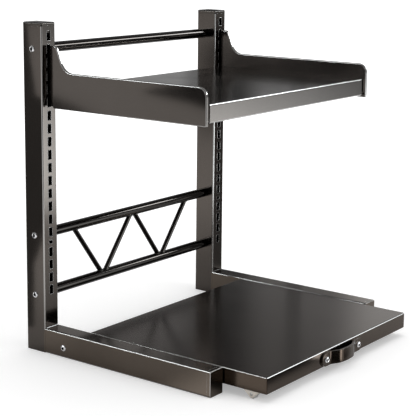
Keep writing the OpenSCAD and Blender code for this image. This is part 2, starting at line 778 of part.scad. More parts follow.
caster_axles();
caster_wheel(-1, y_caster_front);  // wheel_front_left
caster_wheel(1, y_caster_front);  // wheel_front_right
caster_wheel(-1, y_caster_rear);  // wheel_rear_left
caster_wheel(1, y_caster_rear);  // wheel_rear_right
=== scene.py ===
"""Microwave stand with drawer: the looks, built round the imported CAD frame.

Two slotted side frames are joined by round tubes and a truss. A shelf hooks into the slots,
and a low tray on small wheels rolls out between the feet. Lengths are in metres.
"""

import json
import logging
import math
from dataclasses import dataclass, field
from enum import Enum

import bmesh
import bpy
from mathutils import Matrix, Vector

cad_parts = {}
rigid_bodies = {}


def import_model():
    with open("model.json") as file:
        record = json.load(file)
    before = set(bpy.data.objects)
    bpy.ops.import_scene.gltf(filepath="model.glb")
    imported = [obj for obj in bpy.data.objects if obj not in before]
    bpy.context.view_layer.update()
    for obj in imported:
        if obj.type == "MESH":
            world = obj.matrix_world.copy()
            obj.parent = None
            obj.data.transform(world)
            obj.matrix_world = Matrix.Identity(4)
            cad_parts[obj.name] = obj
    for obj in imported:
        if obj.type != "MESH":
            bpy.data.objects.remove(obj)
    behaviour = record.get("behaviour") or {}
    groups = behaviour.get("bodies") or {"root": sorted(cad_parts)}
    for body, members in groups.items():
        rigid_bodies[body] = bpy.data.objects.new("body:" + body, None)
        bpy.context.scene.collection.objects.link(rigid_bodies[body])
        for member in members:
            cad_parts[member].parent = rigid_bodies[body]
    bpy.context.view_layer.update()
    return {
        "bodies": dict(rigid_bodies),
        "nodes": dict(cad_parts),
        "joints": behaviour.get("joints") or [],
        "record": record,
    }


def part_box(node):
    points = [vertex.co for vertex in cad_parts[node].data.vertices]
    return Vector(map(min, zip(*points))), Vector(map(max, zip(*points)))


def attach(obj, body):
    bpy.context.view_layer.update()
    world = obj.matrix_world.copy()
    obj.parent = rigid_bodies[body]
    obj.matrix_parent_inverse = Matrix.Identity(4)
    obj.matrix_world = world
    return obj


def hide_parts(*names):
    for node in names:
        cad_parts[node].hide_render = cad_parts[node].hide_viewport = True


log = logging.getLogger("stand")

Colour = tuple[float, float, float]
Place = tuple[float, float, float]
Ring = list[Vector]
Corners = list[tuple[Vector, float]]
Profile = list[tuple[float, float]]
Aims = list[tuple[Vector, Vector]]
Socket = bpy.types.NodeSocket
Mesh = bmesh.types.BMesh
Piece = bpy.types.Object

STAND, SHELF, TRAY = "stand", "shelf", "tray"
TUBES = ("top_rail", "truss_top_tube", "truss_bottom_tube", "base_tube")
SHEET = 0.0012
MERGE = 2e-6  # vertices nearer than this are one
FLAT_TURN = 0.4  # degrees between faces that count as one flat
CREASE, ROUND_CREASE, FASTENER_CREASE = 35.0, 40.0, 30.0  # degrees above which an edge stays sharp
PAINTED_HIGHLIGHT_AND_SHADE = "polish"  # face attribute: share of a finish's edge tone
# Face attribute for painted light: a painted highlight on rounded edges, painted shade in screw sockets and on cap
# edges.
EVERY_FACE = 2.0  # above any part of a normal
NOISE_LOW, NOISE_HIGH = 0.3, 0.7  # where most of a noise pattern lies


class Side(Enum):
    """The two sides of the stand, with the sign of their X."""

    LEFT = -1
    RIGHT = 1

    @property
    def word(self) -> str:
        """The side's name as the CAD nodes write it."""
        return self.name.lower()


class Corner(Enum):
    """Where a caster stands, as the CAD nodes name it."""

    FRONT_LEFT = "front_left"
    FRONT_RIGHT = "front_right"
    REAR_LEFT = "rear_left"
    REAR_RIGHT = "rear_right"


# Finishes


class NodeBench:
    """Adds nodes to one node tree and joins them."""

    def __init__(self, tree: bpy.types.NodeTree) -> None:
        """Works on that tree."""
        self.tree = tree

    def add(self, kind: str, inputs: dict[str | int, object] | None = None, **settings: object) -> bpy.types.Node:
        """Adds one node.

        Args:
            kind: Blender's name for the node type.
            inputs: Socket name or number to a value, or to the output socket that feeds it.
            **settings: The node's own settings.

        Returns:
            The new node.
        """
        node = self.tree.nodes.new(kind)
        for name, value in settings.items():
            setattr(node, name, value)
        for socket, value in (inputs or {}).items():
            if isinstance(value, Socket):
                self.tree.links.new(value, node.inputs[socket])
            else:
                node.inputs[socket].default_value = value
        return node

    def calc(self, operation: str, *values: float | Socket) -> Socket:
        """Adds a Math node and gives its result."""
        return self.add("ShaderNodeMath", dict(enumerate(values)), operation=operation).outputs[0]

    def noise(self, where: Socket, size: float, detail: float = 2.0) -> Socket:
        """Adds a noise pattern from 0 to 1, with waves of that size in metres."""
        return self.add("ShaderNodeTexNoise", {"Vector": where, "Scale": 1.0 / size, "Detail": detail}).outputs[0]

    def spread(self, value: Socket, low: float, high: float) -> Socket:
        """Maps the middle of a noise pattern to a range."""
        return self.add("ShaderNodeMapRange", {0: value, 1: NOISE_LOW, 2: NOISE_HIGH, 3: low, 4: high}).outputs[0]

    def blend(self, share: Socket, first: Colour | Socket, second: Colour) -> Socket:
        """Mixes two colours.

        Args:
            share: Share of the second colour.
            first: Colour at share 0.
            second: Colour at share 1.

        Returns:
            The mixed colour.
        """
        first = first if isinstance(first, Socket) else (*first, 1.0)
        return self.add("ShaderNodeMix", {0: share, 6: first, 7: (*second, 1.0)}, data_type="RGBA").outputs[2]


def new_material(name: str) -> tuple[bpy.types.Material, NodeBench]:
    """Makes an empty node material.

    Args:
        name: The material's name.

    Returns:
        The material and a bench for its tree.
    """
    material = bpy.data.materials.new(name)
    material.use_nodes = True
    material.node_tree.nodes.clear()
    return material, NodeBench(material.node_tree)


@dataclass(frozen=True)
class Finish:
    """A surface whose tone, gloss and small relief all vary a little over the piece."""

    name: str
    dark: Colour
    light: Colour
    gloss_low: float = 0.12
    gloss_high: float = 0.18
    # Edge tone: a painted highlight on rounded edges where it is light, painted shade on cap edges and in screw sockets
    # where it is dark.
    edge: Colour | None = None
    metallic: float = 1.0
    cloud_size: float = 0.09
    grain_size: float = 0.0012
    relief_size: float = 0.02
    relief: float = 0.02
    relief_depth: float = 0.0004

    def build(self) -> bpy.types.Material:
        """Makes the material.

        Returns:
            A material that reads Object coordinates, and the attribute of painted highlight and shade where it has an
            edge tone.
        """
        material, bench = new_material(self.name)
        where = bench.add("ShaderNodeTexCoord").outputs["Object"]
        clouds = bench.noise(where, self.cloud_size)
        grain = bench.noise(where, self.grain_size, 1.0)
        tone = bench.calc("MULTIPLY", bench.calc("ADD", clouds, grain), 0.5)
        bump = bench.add("ShaderNodeBump", {"Strength": self.relief, "Distance": self.relief_depth,
                                            "Height": bench.noise(where, self.relief_size)})
        colour = bench.blend(bench.spread(tone, 0.0, 1.0), self.dark, self.light)
        if self.edge:
            # Painted light: the edge tone where the attribute marks a face.
            painted_share = bench.add("ShaderNodeAttribute", attribute_name=PAINTED_HIGHLIGHT_AND_SHADE).outputs["Fac"]
            colour = bench.blend(painted_share, colour, self.edge)
        shader = bench.add("ShaderNodeBsdfPrincipled", {
            "Base Color": colour, "Metallic": self.metallic, "Normal": bump.outputs[0],
            "Roughness": bench.spread(clouds, self.gloss_low, self.gloss_high)})
        bench.add("ShaderNodeOutputMaterial", {"Surface": shader.outputs[0]})
        return material


# The light edge tones of the frame, foot, shelf and tray coats paint a highlight on their rounded edges.
FRAME_COAT = Finish("bronze_black_frame", (0.078, 0.068, 0.061), (0.096, 0.084, 0.075), edge=(0.36, 0.35, 0.34))
# Lighter copy of the frame's coat: painted light, so the foot and ground weld look as lit as it seemed.
FOOT_COAT = Finish("bronze_black_foot", (0.107, 0.088, 0.072), (0.131, 0.108, 0.089), edge=(0.40, 0.39, 0.38))
SHELF_COAT = Finish("bronze_black_shelf", (0.078, 0.069, 0.062), (0.096, 0.085, 0.077), 0.15, 0.21, (0.40, 0.39, 0.38))
# Darker, warmer copy of the frame's coat: painted shade on the tray.
TRAY_COAT = Finish("bronze_black_tray", (0.060, 0.046, 0.036), (0.075, 0.058, 0.045), 0.17, 0.21, (0.36, 0.35, 0.34))
# Darker copy of the frame's coat: painted shade, so the round tubes look near black.
TUBE_COAT = Finish("bronze_black_tube", (0.026, 0.023, 0.021), (0.036, 0.032, 0.029), 0.08, 0.12)
# The dark edge tone paints shade on the caps' rounded edges.
CAP_COAT = Finish("cap_coat", (0.070, 0.062, 0.055), (0.086, 0.076, 0.068), 0.16, 0.22, (0.030, 0.028, 0.026))
WELD = Finish("weld_bead", (0.035, 0.032, 0.030), (0.075, 0.068, 0.060), 0.22, 0.36, cloud_size=0.004,
              relief_size=0.0012, relief=0.4)
# The dark edge tone paints shade inside the screw sockets.
CHROME = Finish("bright_chrome", (0.80, 0.80, 0.81), (0.88, 0.88, 0.89), 0.05, 0.09, (0.02, 0.02, 0.02))
ZINC = Finish("zinc_plate", (0.44, 0.43, 0.41), (0.60, 0.59, 0.56), 0.26, 0.40, cloud_size=0.006,
              relief_size=0.0008, relief=0.15)
BLACK_PLATE = Finish("black_plate", (0.012, 0.011, 0.011), (0.020, 0.019, 0.018), 0.25, 0.34)
PALE_PLATE = Finish("pale_plate", (0.78, 0.71, 0.63), (0.88, 0.82, 0.74), 0.34, 0.48, metallic=0.25,
                    cloud_size=0.008, relief_size=0.0010, relief=0.12)
WHEEL = Finish("wheel_plastic", (0.58, 0.575, 0.55), (0.68, 0.675, 0.65), 0.38, 0.50, metallic=0.0,
               cloud_size=0.006, relief_size=0.0009, relief=0.10)
STRIP = Finish("strip_plastic", (0.016, 0.016, 0.018), (0.026, 0.026, 0.029), 0.40, 0.55, metallic=0.0,
               cloud_size=0.02, relief_size=0.0010, relief=0.10)
RUBBER = Finish("bumper_rubber", (0.014, 0.014, 0.014), (0.024, 0.024, 0.024), 0.60, 0.75, metallic=0.0,
                cloud_size=0.005, relief_size=0.0007, relief=0.20)
FINISHES = (FRAME_COAT, FOOT_COAT, SHELF_COAT, TRAY_COAT, TUBE_COAT, CAP_COAT, WELD, CHROME, ZINC, BLACK_PLATE,
            PALE_PLATE, WHEEL, STRIP, RUBBER)


# Outlines


def corner_arc(before: Vector, corner: Vector, after: Vector, radius: float, steps: int) -> list[Vector]:
    """Rounds one corner of a flat outline.

    Args:
        before: Corner before this one, in the outline's plane.
        corner: The corner.
        after: Corner after it.
        radius: Radius of the arc, 0 for a sharp corner.
        steps: Straight steps along the arc.

    Returns:
        The points of the arc, in order.
    """
    if radius <= 0.0:
        return [corner.copy()]
    u, v = (before - corner).normalized(), (after - corner).normalized()
    half = u.angle(v) / 2
    centre = corner + (u + v).normalized() * radius / math.sin(half)
    start = corner + u * radius / math.tan(half) - centre
    end = corner + v * radius / math.tan(half) - centre
    turn = math.atan2(end.y, end.x) - math.atan2(start.y, start.x)
    sweep = (turn + math.pi) % (2 * math.pi) - math.pi
    return [centre + Matrix.Rotation(sweep * k / steps, 2) @ start for k in range(steps + 1)]


def closed_outline(corners: Corners, steps: int) -> list[Vector]:
    """Rounds every corner of a closed outline.

    Args:
        corners: Pairs of corner and radius, anticlockwise.
        steps: Straight steps along each arc.

    Returns:
        The outline's points.
    """
    count = len(corners)
    return [p for i in range(count) for p in corner_arc(
        corners[i - 1][0], corners[i][0], corners[(i + 1) % count][0], corners[i][1], steps)]


def moved_in(corners: Corners, distance: float) -> Corners:
    """Moves a closed outline's corners inwards, with radii to match.

    Args:
        corners: Pairs of corner and radius, anticlockwise.
        distance: How far every edge moves in.

    Returns:
        The new corners.
    """
    moved = []
    for i, (corner, radius) in enumerate(corners):
        u = (corners[i - 1][0] - corner).normalized()
        v = (corners[(i + 1) % len(corners)][0] - corner).normalized()
        out = 1.0 if v.cross(u) > 0 else -1.0
        moved.append((corner + out * (u + v).normalized() * distance / math.sin(u.angle(v) / 2),
                      radius - out * distance))
    return moved


def open_path(corners: Corners, steps: int) -> list[Vector]:
    """Rounds the inner corners of an open path.

    Args:
        corners: Pairs of corner and bend radius.
        steps: Straight steps along each bend.

    Returns:
        The path's points.
    """
    points = [corners[0][0]]
    for (before, _), (corner, radius), (after, _) in zip(corners, corners[1:], corners[2:]):
        points += corner_arc(before, corner, after, radius, steps)
    return [*points, corners[-1][0]]


def quarter(radius: float, steps: int) -> Profile:
    """Rounds the corner of a profile.

    Args:
        radius: Radius of the rounding.
        steps: Straight steps along it.

    Returns:
        How far each point lies inside the corner's two sides, from the first side to the second.
    """
    angles = (math.pi / 2 * k / steps for k in range(steps + 1))
    return [(radius * (1 - math.cos(angle)), radius * (1 - math.sin(angle))) for angle in angles]


def circle_ring(radius: float, height: float, steps: int) -> Ring:
    """A level ring of points round the Z axis, anticlockwise from +X."""
    return [Vector((radius * math.cos(2 * math.pi * k / steps), radius * math.sin(2 * math.pi * k / steps), height))
            for k in range(steps)]


def hexagon_ring(across_flats: float, height: float, steps: int) -> Ring:
    """A level hexagon round the Z axis with its points spread evenly by angle.

    Args:
        across_flats: Distance between two flats.
        height: Z of the ring.
        steps: Number of points, a multiple of 6.

    Returns:
        The points, anticlockwise from +X, where a corner lies.
    """
    ring = []
    for k in range(steps):
        angle = 2 * math.pi * k / steps
        off_flat = (angle + math.pi / 6) % (math.pi / 3) - math.pi / 6
        reach = across_flats / 2 / math.cos(math.pi / 6 - abs(off_flat))
        ring.append(Vector((reach * math.cos(angle), reach * math.sin(angle), height)))
    return ring


# Meshes


def skin(rings: list[Ring], closed: bool = False) -> Mesh:
    """Joins equal rings of points with quads.

    Args:
        rings: Rings in order. The skin faces outwards where each ring runs anticlockwise
            seen from the last ring.
        closed: Joins the last ring to the first one instead of capping both ends.

    Returns:
        The mesh.
    """
    mesh = bmesh.new()
    rows = [[mesh.verts.new(p) for p in ring] for ring in rings]
    pairs = list(zip(rows, rows[1:]))
    if closed:
        pairs.append((rows[-1], rows[0]))
    else:
        mesh.faces.new(rows[0][::-1])
        mesh.faces.new(rows[-1])
    for low, high in pairs:
        for i in range(len(low)):
            j = (i + 1) % len(low)
            mesh.faces.new((low[i], low[j], high[j], high[i]))
    return mesh


def faced_out(mesh: Mesh) -> Mesh:
    """Turns the faces of a closed mesh outwards."""
    bmesh.ops.recalc_face_normals(mesh, faces=mesh.faces)
    return mesh


def linked(name: str, data: bpy.types.ID) -> Piece:
    """Puts mesh, lamp or camera data into the scene.

    Args:
        name: Name of the new object.
        data: The data.

    Returns:
        The object, at the origin.
    """
    made = bpy.data.objects.new(name, data)
    bpy.context.scene.collection.objects.link(made)
    return made


def as_object(name: str, mesh: Mesh, material: bpy.types.Material, crease: float = CREASE) -> Piece:
    """Puts a mesh into the scene, smooth but for its sharp edges.

    Args:
        name: Name of the new object.
        mesh: The mesh, which is freed.
        material: Its material.
        crease: Edges that turn by more than this many degrees stay sharp.

    Returns:
        The object, at the origin.
    """
    data = bpy.data.meshes.new(name)
    mesh.to_mesh(data)
    mesh.free()
    if "custom_normal" in data.attributes:
        data.attributes.remove(data.attributes["custom_normal"])
    data.shade_smooth()
    data.set_sharp_from_angle(angle=math.radians(crease))
    data.materials.clear()
    data.materials.append(material)
    return linked(name, data)


def modified(made: Piece, kind: str, **settings: object) -> Piece:
    """Adds a modifier.

    Args:
        made: The object.
        kind: Blender's name for the modifier type.
        **settings: The modifier's settings.

    Returns:
        The same object.
    """
    modifier = made.modifiers.new(kind.lower(), kind)
    for name, value in settings.items():
        setattr(modifier, name, value)
    return made


def frozen(made: Piece) -> Piece:
    """Turns an object with modifiers into a plain mesh.

    Args:
        made: The object, at the origin.

    Returns:
        The same object, its modifiers gone and their result as its mesh.
    """
    graph = bpy.context.evaluated_depsgraph_get()
    graph.update()
    data = bpy.data.meshes.new_from_object(made.evaluated_get(graph), preserve_all_data_layers=True, depsgraph=graph)
    made.modifiers.clear()
    made.data = data
    return made


def polished(made: Piece, below: float = 0.95, rise: float = 0.0) -> Piece:
    """Marks the rounded edges for the finish's edge tone, which paints a highlight there (painted shade on the caps,
    whose edge tone is dark).

    Args:
        made: The object.
        below: A face is an edge where no part of its normal along X, Y or Z is larger than this.
        rise: Only edges whose normal goes up or down by at least this much are marked.

    Returns:
        The same object.
    """
    layer = made.data.attributes.get(PAINTED_HIGHLIGHT_AND_SHADE) or made.data.attributes.new(PAINTED_HIGHLIGHT_AND_SHADE, "FLOAT", "FACE")
    for face in made.data.polygons:
        is_edge = max(abs(part) for part in face.normal) < below and abs(face.normal.z) >= rise
        layer.data[face.index].value = 1.0 if is_edge else 0.0
    return made


def eased(made: Piece, radius: float, steps: int = 2, above: float = 50.0, rise: float = 0.0) -> Piece:
    """Rounds an object's sharp edges, evens its shading and marks the edges for the finish's painted edge tone.

    Args:
        made: The object.
        radius: How far the rounding reaches from an edge.
        steps: Faces round each edge.
        above: Only edges that turn by more than this many degrees are rounded.
        rise: Only edges whose normal goes up or down by at least this much get the painted edge tone.

    Returns:
        The same object as a plain mesh.
    """
    made.data.set_sharp_from_angle(angle=math.pi)
    modified(made, "BEVEL", limit_method="ANGLE", angle_limit=math.radians(above), width=radius, segments=steps,
             use_clamp_overlap=True)
    return polished(frozen(modified(made, "WEIGHTED_NORMAL", keep_sharp=True)), rise=rise)


# Geometry Nodes


class Tool:
    """A Geometry Nodes tree with named inputs, run on one carrier object."""

    def __init__(self, name: str) -> None:
        """Starts an empty tree.

        Args:
            name: The tree's name.
        """
        self.tree = bpy.data.node_groups.new(name, "GeometryNodeTree")
        self.bench = NodeBench(self.tree)
        self.sockets: dict[str, str] = {}
        for way in ("INPUT", "OUTPUT"):
            self.tree.interface.new_socket("Geometry", in_out=way, socket_type="NodeSocketGeometry")
        self.inlet = self.bench.add("NodeGroupInput")

    def named(self, name: str, kind: str) -> Socket:
        """Adds a named input.

        Args:
            name: The input's name.
            kind: Its type, such as Float or Object.

        Returns:
            The socket that carries it inside the tree.
        """
        item = self.tree.interface.new_socket(name, in_out="INPUT", socket_type=f"NodeSocket{kind}")
        self.sockets[name] = item.identifier
        return self.inlet.outputs[name]

    def close(self, geometry: Socket) -> None:
        """Ends the tree in Realize Instances and Set Material.

        Args:
            geometry: The result so far.
        """
        material = self.named("Material", "Material")
        real = self.bench.add("GeometryNodeRealizeInstances", {"Geometry": geometry})
        smooth = self.bench.add("GeometryNodeSetShadeSmooth", {"Geometry": real.outputs[0]})
        dressed = self.bench.add("GeometryNodeSetMaterial", {"Geometry": smooth.outputs[0], "Material": material})
        self.bench.add("NodeGroupOutput", {"Geometry": dressed.outputs[0]})

    def run(self, name: str, carrier: Mesh, values: dict[str, object]) -> Piece:
        """Runs the tree on a carrier mesh and keeps the result as a plain mesh.

        Args:
            name: Name of the new piece.
            carrier: Points or edges that the tree works along, which are freed.
            values: Input name to value.

        Returns:
            The new piece.
        """
        data = bpy.data.meshes.new(name)
        carrier.to_mesh(data)
        carrier.free()
        made = linked(name, data)
        modifier = made.modifiers.new("tool", "NODES")
        modifier.node_group = self.tree
        for title, value in values.items():
            modifier[self.sockets[title]] = value
        made.update_tag()
        bpy.context.view_layer.update()
        return frozen(made)


class BarTool(Tool):
    """Sweeps a round bar along each line of the carrier, smooth or with the ripples of a weld."""

    def __init__(self) -> None:
        """Builds the tree."""
        super().__init__("bar_along_line")
        radius, sides, ripple, size = (self.named(*pair) for pair in (
            ("Radius", "Float"), ("Sides", "Int"), ("Ripple", "Float"), ("Ripple Size", "Float")))
        bench = self.bench
        line = bench.add("GeometryNodeMeshToCurve", {"Mesh": self.inlet.outputs["Geometry"]})
        wave = bench.add("ShaderNodeTexNoise", {"Vector": bench.add("GeometryNodeInputPosition").outputs[0],
                                                "Scale": bench.calc("DIVIDE", 1.0, size), "Detail": 1.0})
        swing = bench.calc("MULTIPLY_ADD", bench.calc("SUBTRACT", wave.outputs[0], 0.5), ripple, 1.0)
        ring = bench.add("GeometryNodeCurvePrimitiveCircle", {"Resolution": sides, "Radius": radius})
        bar = bench.add("GeometryNodeCurveToMesh", {"Curve": line.outputs[0], "Profile Curve": ring.outputs[0],
                                                    "Scale": swing, "Fill Caps": True})
        self.close(bar.outputs[0])


class ScatterTool(Tool):
    """Sets one part on each point of the carrier, pointing along the point's aim, each turned by chance."""

    def __init__(self) -> None:
        """Builds the tree."""
        super().__init__("part_on_points")
        part, turn, seed = (self.named(*pair) for pair in (("Part", "Object"), ("Turn", "Float"), ("Seed", "Int")))
        bench = self.bench
        shape = bench.add("GeometryNodeObjectInfo", {"Object": part})
        aim = bench.add("GeometryNodeInputNamedAttribute", {"Name": "aim"}, data_type="FLOAT_VECTOR")
        chance = bench.add("FunctionNodeRandomValue", {3: turn, "Seed": seed}, data_type="FLOAT")
        facing = bench.add("FunctionNodeAlignRotationToVector", {"Vector": aim.outputs[0]}, axis="Z")
        spin = bench.add("FunctionNodeAxisAngleToRotation", {"Axis": (0.0, 0.0, 1.0), "Angle": chance.outputs[1]})
        turned = bench.add("FunctionNodeRotateRotation", {"Rotation": facing.outputs[0], "Rotate By": spin.outputs[0]},
                           rotation_space="LOCAL")
        placed = bench.add("GeometryNodeInstanceOnPoints", {
            "Points": self.inlet.outputs["Geometry"], "Instance": shape.outputs["Geometry"],
            "Rotation": turned.outputs[0]})
        self.close(placed.outputs[0])


def line_carrier(lines: list[list[Vector]], closed: bool) -> Mesh:
    """Makes a carrier of lines.

    Args:
        lines: Each line's points.
        closed: Joins each line's ends.

    Returns:
        A mesh of edges.
    """
    mesh = bmesh.new()
    for line in lines:
        row = [mesh.verts.new(p) for p in line]
        for a, b in zip(row, row[1:] + row[:1] if closed else row[1:]):
            mesh.edges.new((a, b))
    return mesh


def point_carrier(points: Aims) -> Mesh:
    """Makes a carrier of points.

    Args:
        points: Pairs of place and aim.

    Returns:
        A mesh of loose points with their aim as an attribute.
    """
    mesh = bmesh.new()
    layer = mesh.verts.layers.float_vector.new("aim")
    for place, aim in points:
        mesh.verts.new(place)[layer] = aim
    return mesh


# Workshop


def palette() -> dict[str, bpy.types.Material]:
    """Makes every finish once."""
    return {finish.name: finish.build() for finish in FINISHES}


@dataclass
class Workshop:
    """Makes pieces in their finishes and hands them over to the frame."""

    frame: dict
    materials: dict[str, bpy.types.Material] = field(default_factory=palette)
    bars: BarTool = field(default_factory=BarTool)
    scatter: ScatterTool = field(default_factory=ScatterTool)

    def cad_mesh(self, node: str) -> Mesh:
        """Copies a CAD node's mesh and merges the copy.

        Args:
            node: The CAD node.

        Returns:
            The copy.
        """
        mesh = bmesh.new()
        mesh.from_mesh(self.frame["nodes"][node].data)
        bmesh.ops.remove_doubles(mesh, verts=mesh.verts, dist=MERGE)
        return mesh

    def hand_over(self, made: Piece, body: str, slot: str, *nodes: str) -> None:
        """Makes a piece ride on its body and stand for its CAD nodes.

        Args:
            made: The finished piece, at the origin.
            body: The CAD body that carries it.
            slot: The record's material slot for it; not used.
            *nodes: CAD nodes that it stands for.
        """
        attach(made, body)
        if nodes:
            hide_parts(*nodes)
        log.info("%s: %d faces on %s", made.name, len(made.data.polygons), body)

    def keep(self, node: str, finish: Finish) -> None:
        """Gives a CAD node that stays in view its finish.

        Args:
            node: The CAD node.
            finish: Its finish.
        """
        carried = self.frame["nodes"][node]
        carried.data.materials.clear()
        carried.data.materials.append(self.materials[finish.name])
        log.info("%s: kept, %s", node, finish.name)

    def copy(self, node: str, finish: Finish, ease: float, body: str, slot: str, side: Side | None = None) -> None:
        """Dresses a CAD node as a merged copy, its edges eased as a folded or moulded piece has them.

        Args:
            node: The CAD node, without the word for its side where a side is given.
            finish: Its finish.
            ease: How far the easing reaches from an edge.
            body: The CAD body that carries it.
            slot: Its material slot.
            side: The side it is on, if it has one.
        """
        tail = f"_{side.word}" if side else ""
        mesh = self.cad_mesh(node + tail)
        bmesh.ops.dissolve_limit(mesh, angle_limit=math.radians(FLAT_TURN), verts=mesh.verts, edges=mesh.edges)
        made = as_object(f"{node}_shape{tail}", mesh, self.materials[finish.name])
        self.hand_over(eased(made, ease), body, slot, node + tail)

    def bar(self, name: str, lines: list[list[Vector]], finish: Finish, radius: float, sides: int,
            closed: bool = False, ripple: float = 0.0, ripple_size: float = 1.0) -> Piece:
        """Sweeps a round bar along lines.

        Args:
            name: Name of the new piece.
            lines: Each line's points.
            finish: Its finish.
            radius: Radius of the bar.
            sides: Faces round the bar.
            closed: Joins each line's ends.
            ripple: How much the bar's thickness varies, as a share.
            ripple_size: Length of one ripple.

        Returns:
            The new piece.
        """
        return self.bars.run(name, line_carrier(lines, closed), {
            "Radius": radius, "Sides": sides, "Ripple": ripple, "Ripple Size": ripple_size,
            "Material": self.materials[finish.name]})

    def tube(self, node: str, start: Vector, end: Vector, radius: float, sides: int) -> None:
        """Sweeps a straight tube of the stand in place of a CAD node.

        Args:
            node: The CAD node.
            start: One end of its axis.
            end: The other end.
            radius: Radius of the tube.
            sides: Faces round it.
        """
        made = self.bar(f"{node}_shape", [[start, end]], TUBE_COAT, radius, sides)
        made.data.set_sharp_from_angle(angle=math.radians(ROUND_CREASE))
        self.hand_over(made, STAND, "frame_metal", node)

    def fasteners(self, node: str, part: Mesh, points: Aims, finish: Finish, seed: int, body: str, slot: str) -> None:
        """Sets one fastener on several places, as one piece that stands for a CAD node.

        Args:
            node: The CAD node.
            part: Mesh of one fastener, its axis along Z, which is freed.
            points: Pairs of place and direction of the head.
            finish: Its finish.
            seed: Seed of the chance turn.
            body: The CAD body that carries it.
            slot: Its material slot.
        """
        material = self.materials[finish.name]
        pattern = as_object(f"{node}_pattern", part, material, FASTENER_CREASE)
        made = self.scatter.run(f"{node}_shape", point_carrier(points), {
            "Part": pattern, "Turn": math.tau, "Seed": seed, "Material": material})
        bpy.data.objects.remove(pattern)
        made.data.set_sharp_from_angle(angle=math.radians(FASTENER_CREASE))
        self.hand_over(made, body, slot, node)


@dataclass
class Assembly:
    """A sub-assembly that is made in a workshop."""

    shop: Workshop


def middle(node: str) -> Vector:
    """The middle of a CAD node's box at rest."""
    low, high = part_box(node)
    return (low + high) / 2


# Screws and nuts


@dataclass
class DomeScrew:
    """A domed screw with a hexagon socket, its head above z 0."""

    shank_r: float
    shank_l: float
    head_r: float
    head_h: float
    tip_share: float = 0.12
    skirt_h: float = 0.0005
    rim_share: float = 0.70
    crest_share: float = 0.08
    socket_share: float = 0.46
    socket_depth_share: float = 0.62
    mouth_share: float = 0.06
    mouth_spread: float = 1.06
    funnel_share: float = 0.6
    recess_spread: float = 1.02
    steps: int = 48
    dome_steps: int = 9

    def mesh(self) -> Mesh:
        """Builds the screw.

        Returns:
            A closed mesh of rings from the shank's end to the bottom of the socket.
        """
        socket = 2 * self.head_r * self.socket_share
        rim = self.head_r * self.rim_share
        dome = self.head_h - self.skirt_h
        tip = self.tip_share * self.shank_r
        angles = [math.acos(rim / self.head_r) * k / self.dome_steps for k in range(self.dome_steps + 1)]
        circles = [(self.shank_r - tip, -self.shank_l), (self.shank_r, tip - self.shank_l), (self.shank_r, 0.0)]
        circles.append((self.head_r, 0.0))
        circles += [(self.head_r * math.cos(angle), self.skirt_h + dome * math.sin(angle)) for angle in angles]
        rings = [circle_ring(r, z, self.steps) for r, z in circles]
        top = rings[-1][0].z
        mouth = top + dome * self.mouth_share
        rings.append(circle_ring((rim + socket * self.funnel_share) / 2, top + dome * self.crest_share, self.steps))
        rings += [hexagon_ring(across, z, self.steps) for across, z in (
            (socket * self.mouth_spread, mouth), (socket, mouth - dome * self.crest_share),
            (socket, top - self.head_h * self.socket_depth_share))]
        mesh = skin(rings)
        # Faces inside the socket take the finish's dark edge tone: painted shade in the recess.
        socket_shade = mesh.faces.layers.float.new(PAINTED_HIGHLIGHT_AND_SHADE)
        for face in mesh.faces:
            centre = face.calc_center_median()
            inside = math.hypot(centre.x, centre.y) < socket / 2 * self.recess_spread
            face[socket_shade] = 1.0 if inside and centre.z > 0.0 else 0.0
        return mesh


@dataclass
class HexNut:
    """A hexagon nut with chamfered corners, standing on z 0."""

    across_flats: float
    height: float
    bore_r: float
    face_share: float = 0.97
    chamfer_share: float = 0.10
    mouth_spread: float = 1.12
    steps: int = 48

    def mesh(self) -> Mesh:
        """Builds the nut.

        Returns:
            A closed ring-shaped mesh.
        """
        flat, steps = self.across_flats, self.steps
        face = flat / 2 * self.face_share
        chamfer = self.height * self.chamfer_share
        mouth = self.bore_r * self.mouth_spread
        low, high = chamfer, self.height - chamfer
        return skin([
            circle_ring(self.bore_r, low, steps), circle_ring(mouth, 0.0, steps), circle_ring(face, 0.0, steps),
            hexagon_ring(flat, low, steps), hexagon_ring(flat, high, steps),
            circle_ring(face, self.height, steps), circle_ring(mouth, self.height, steps),
            circle_ring(self.bore_r, high, steps)], closed=True)


# Side frames, tubes and truss


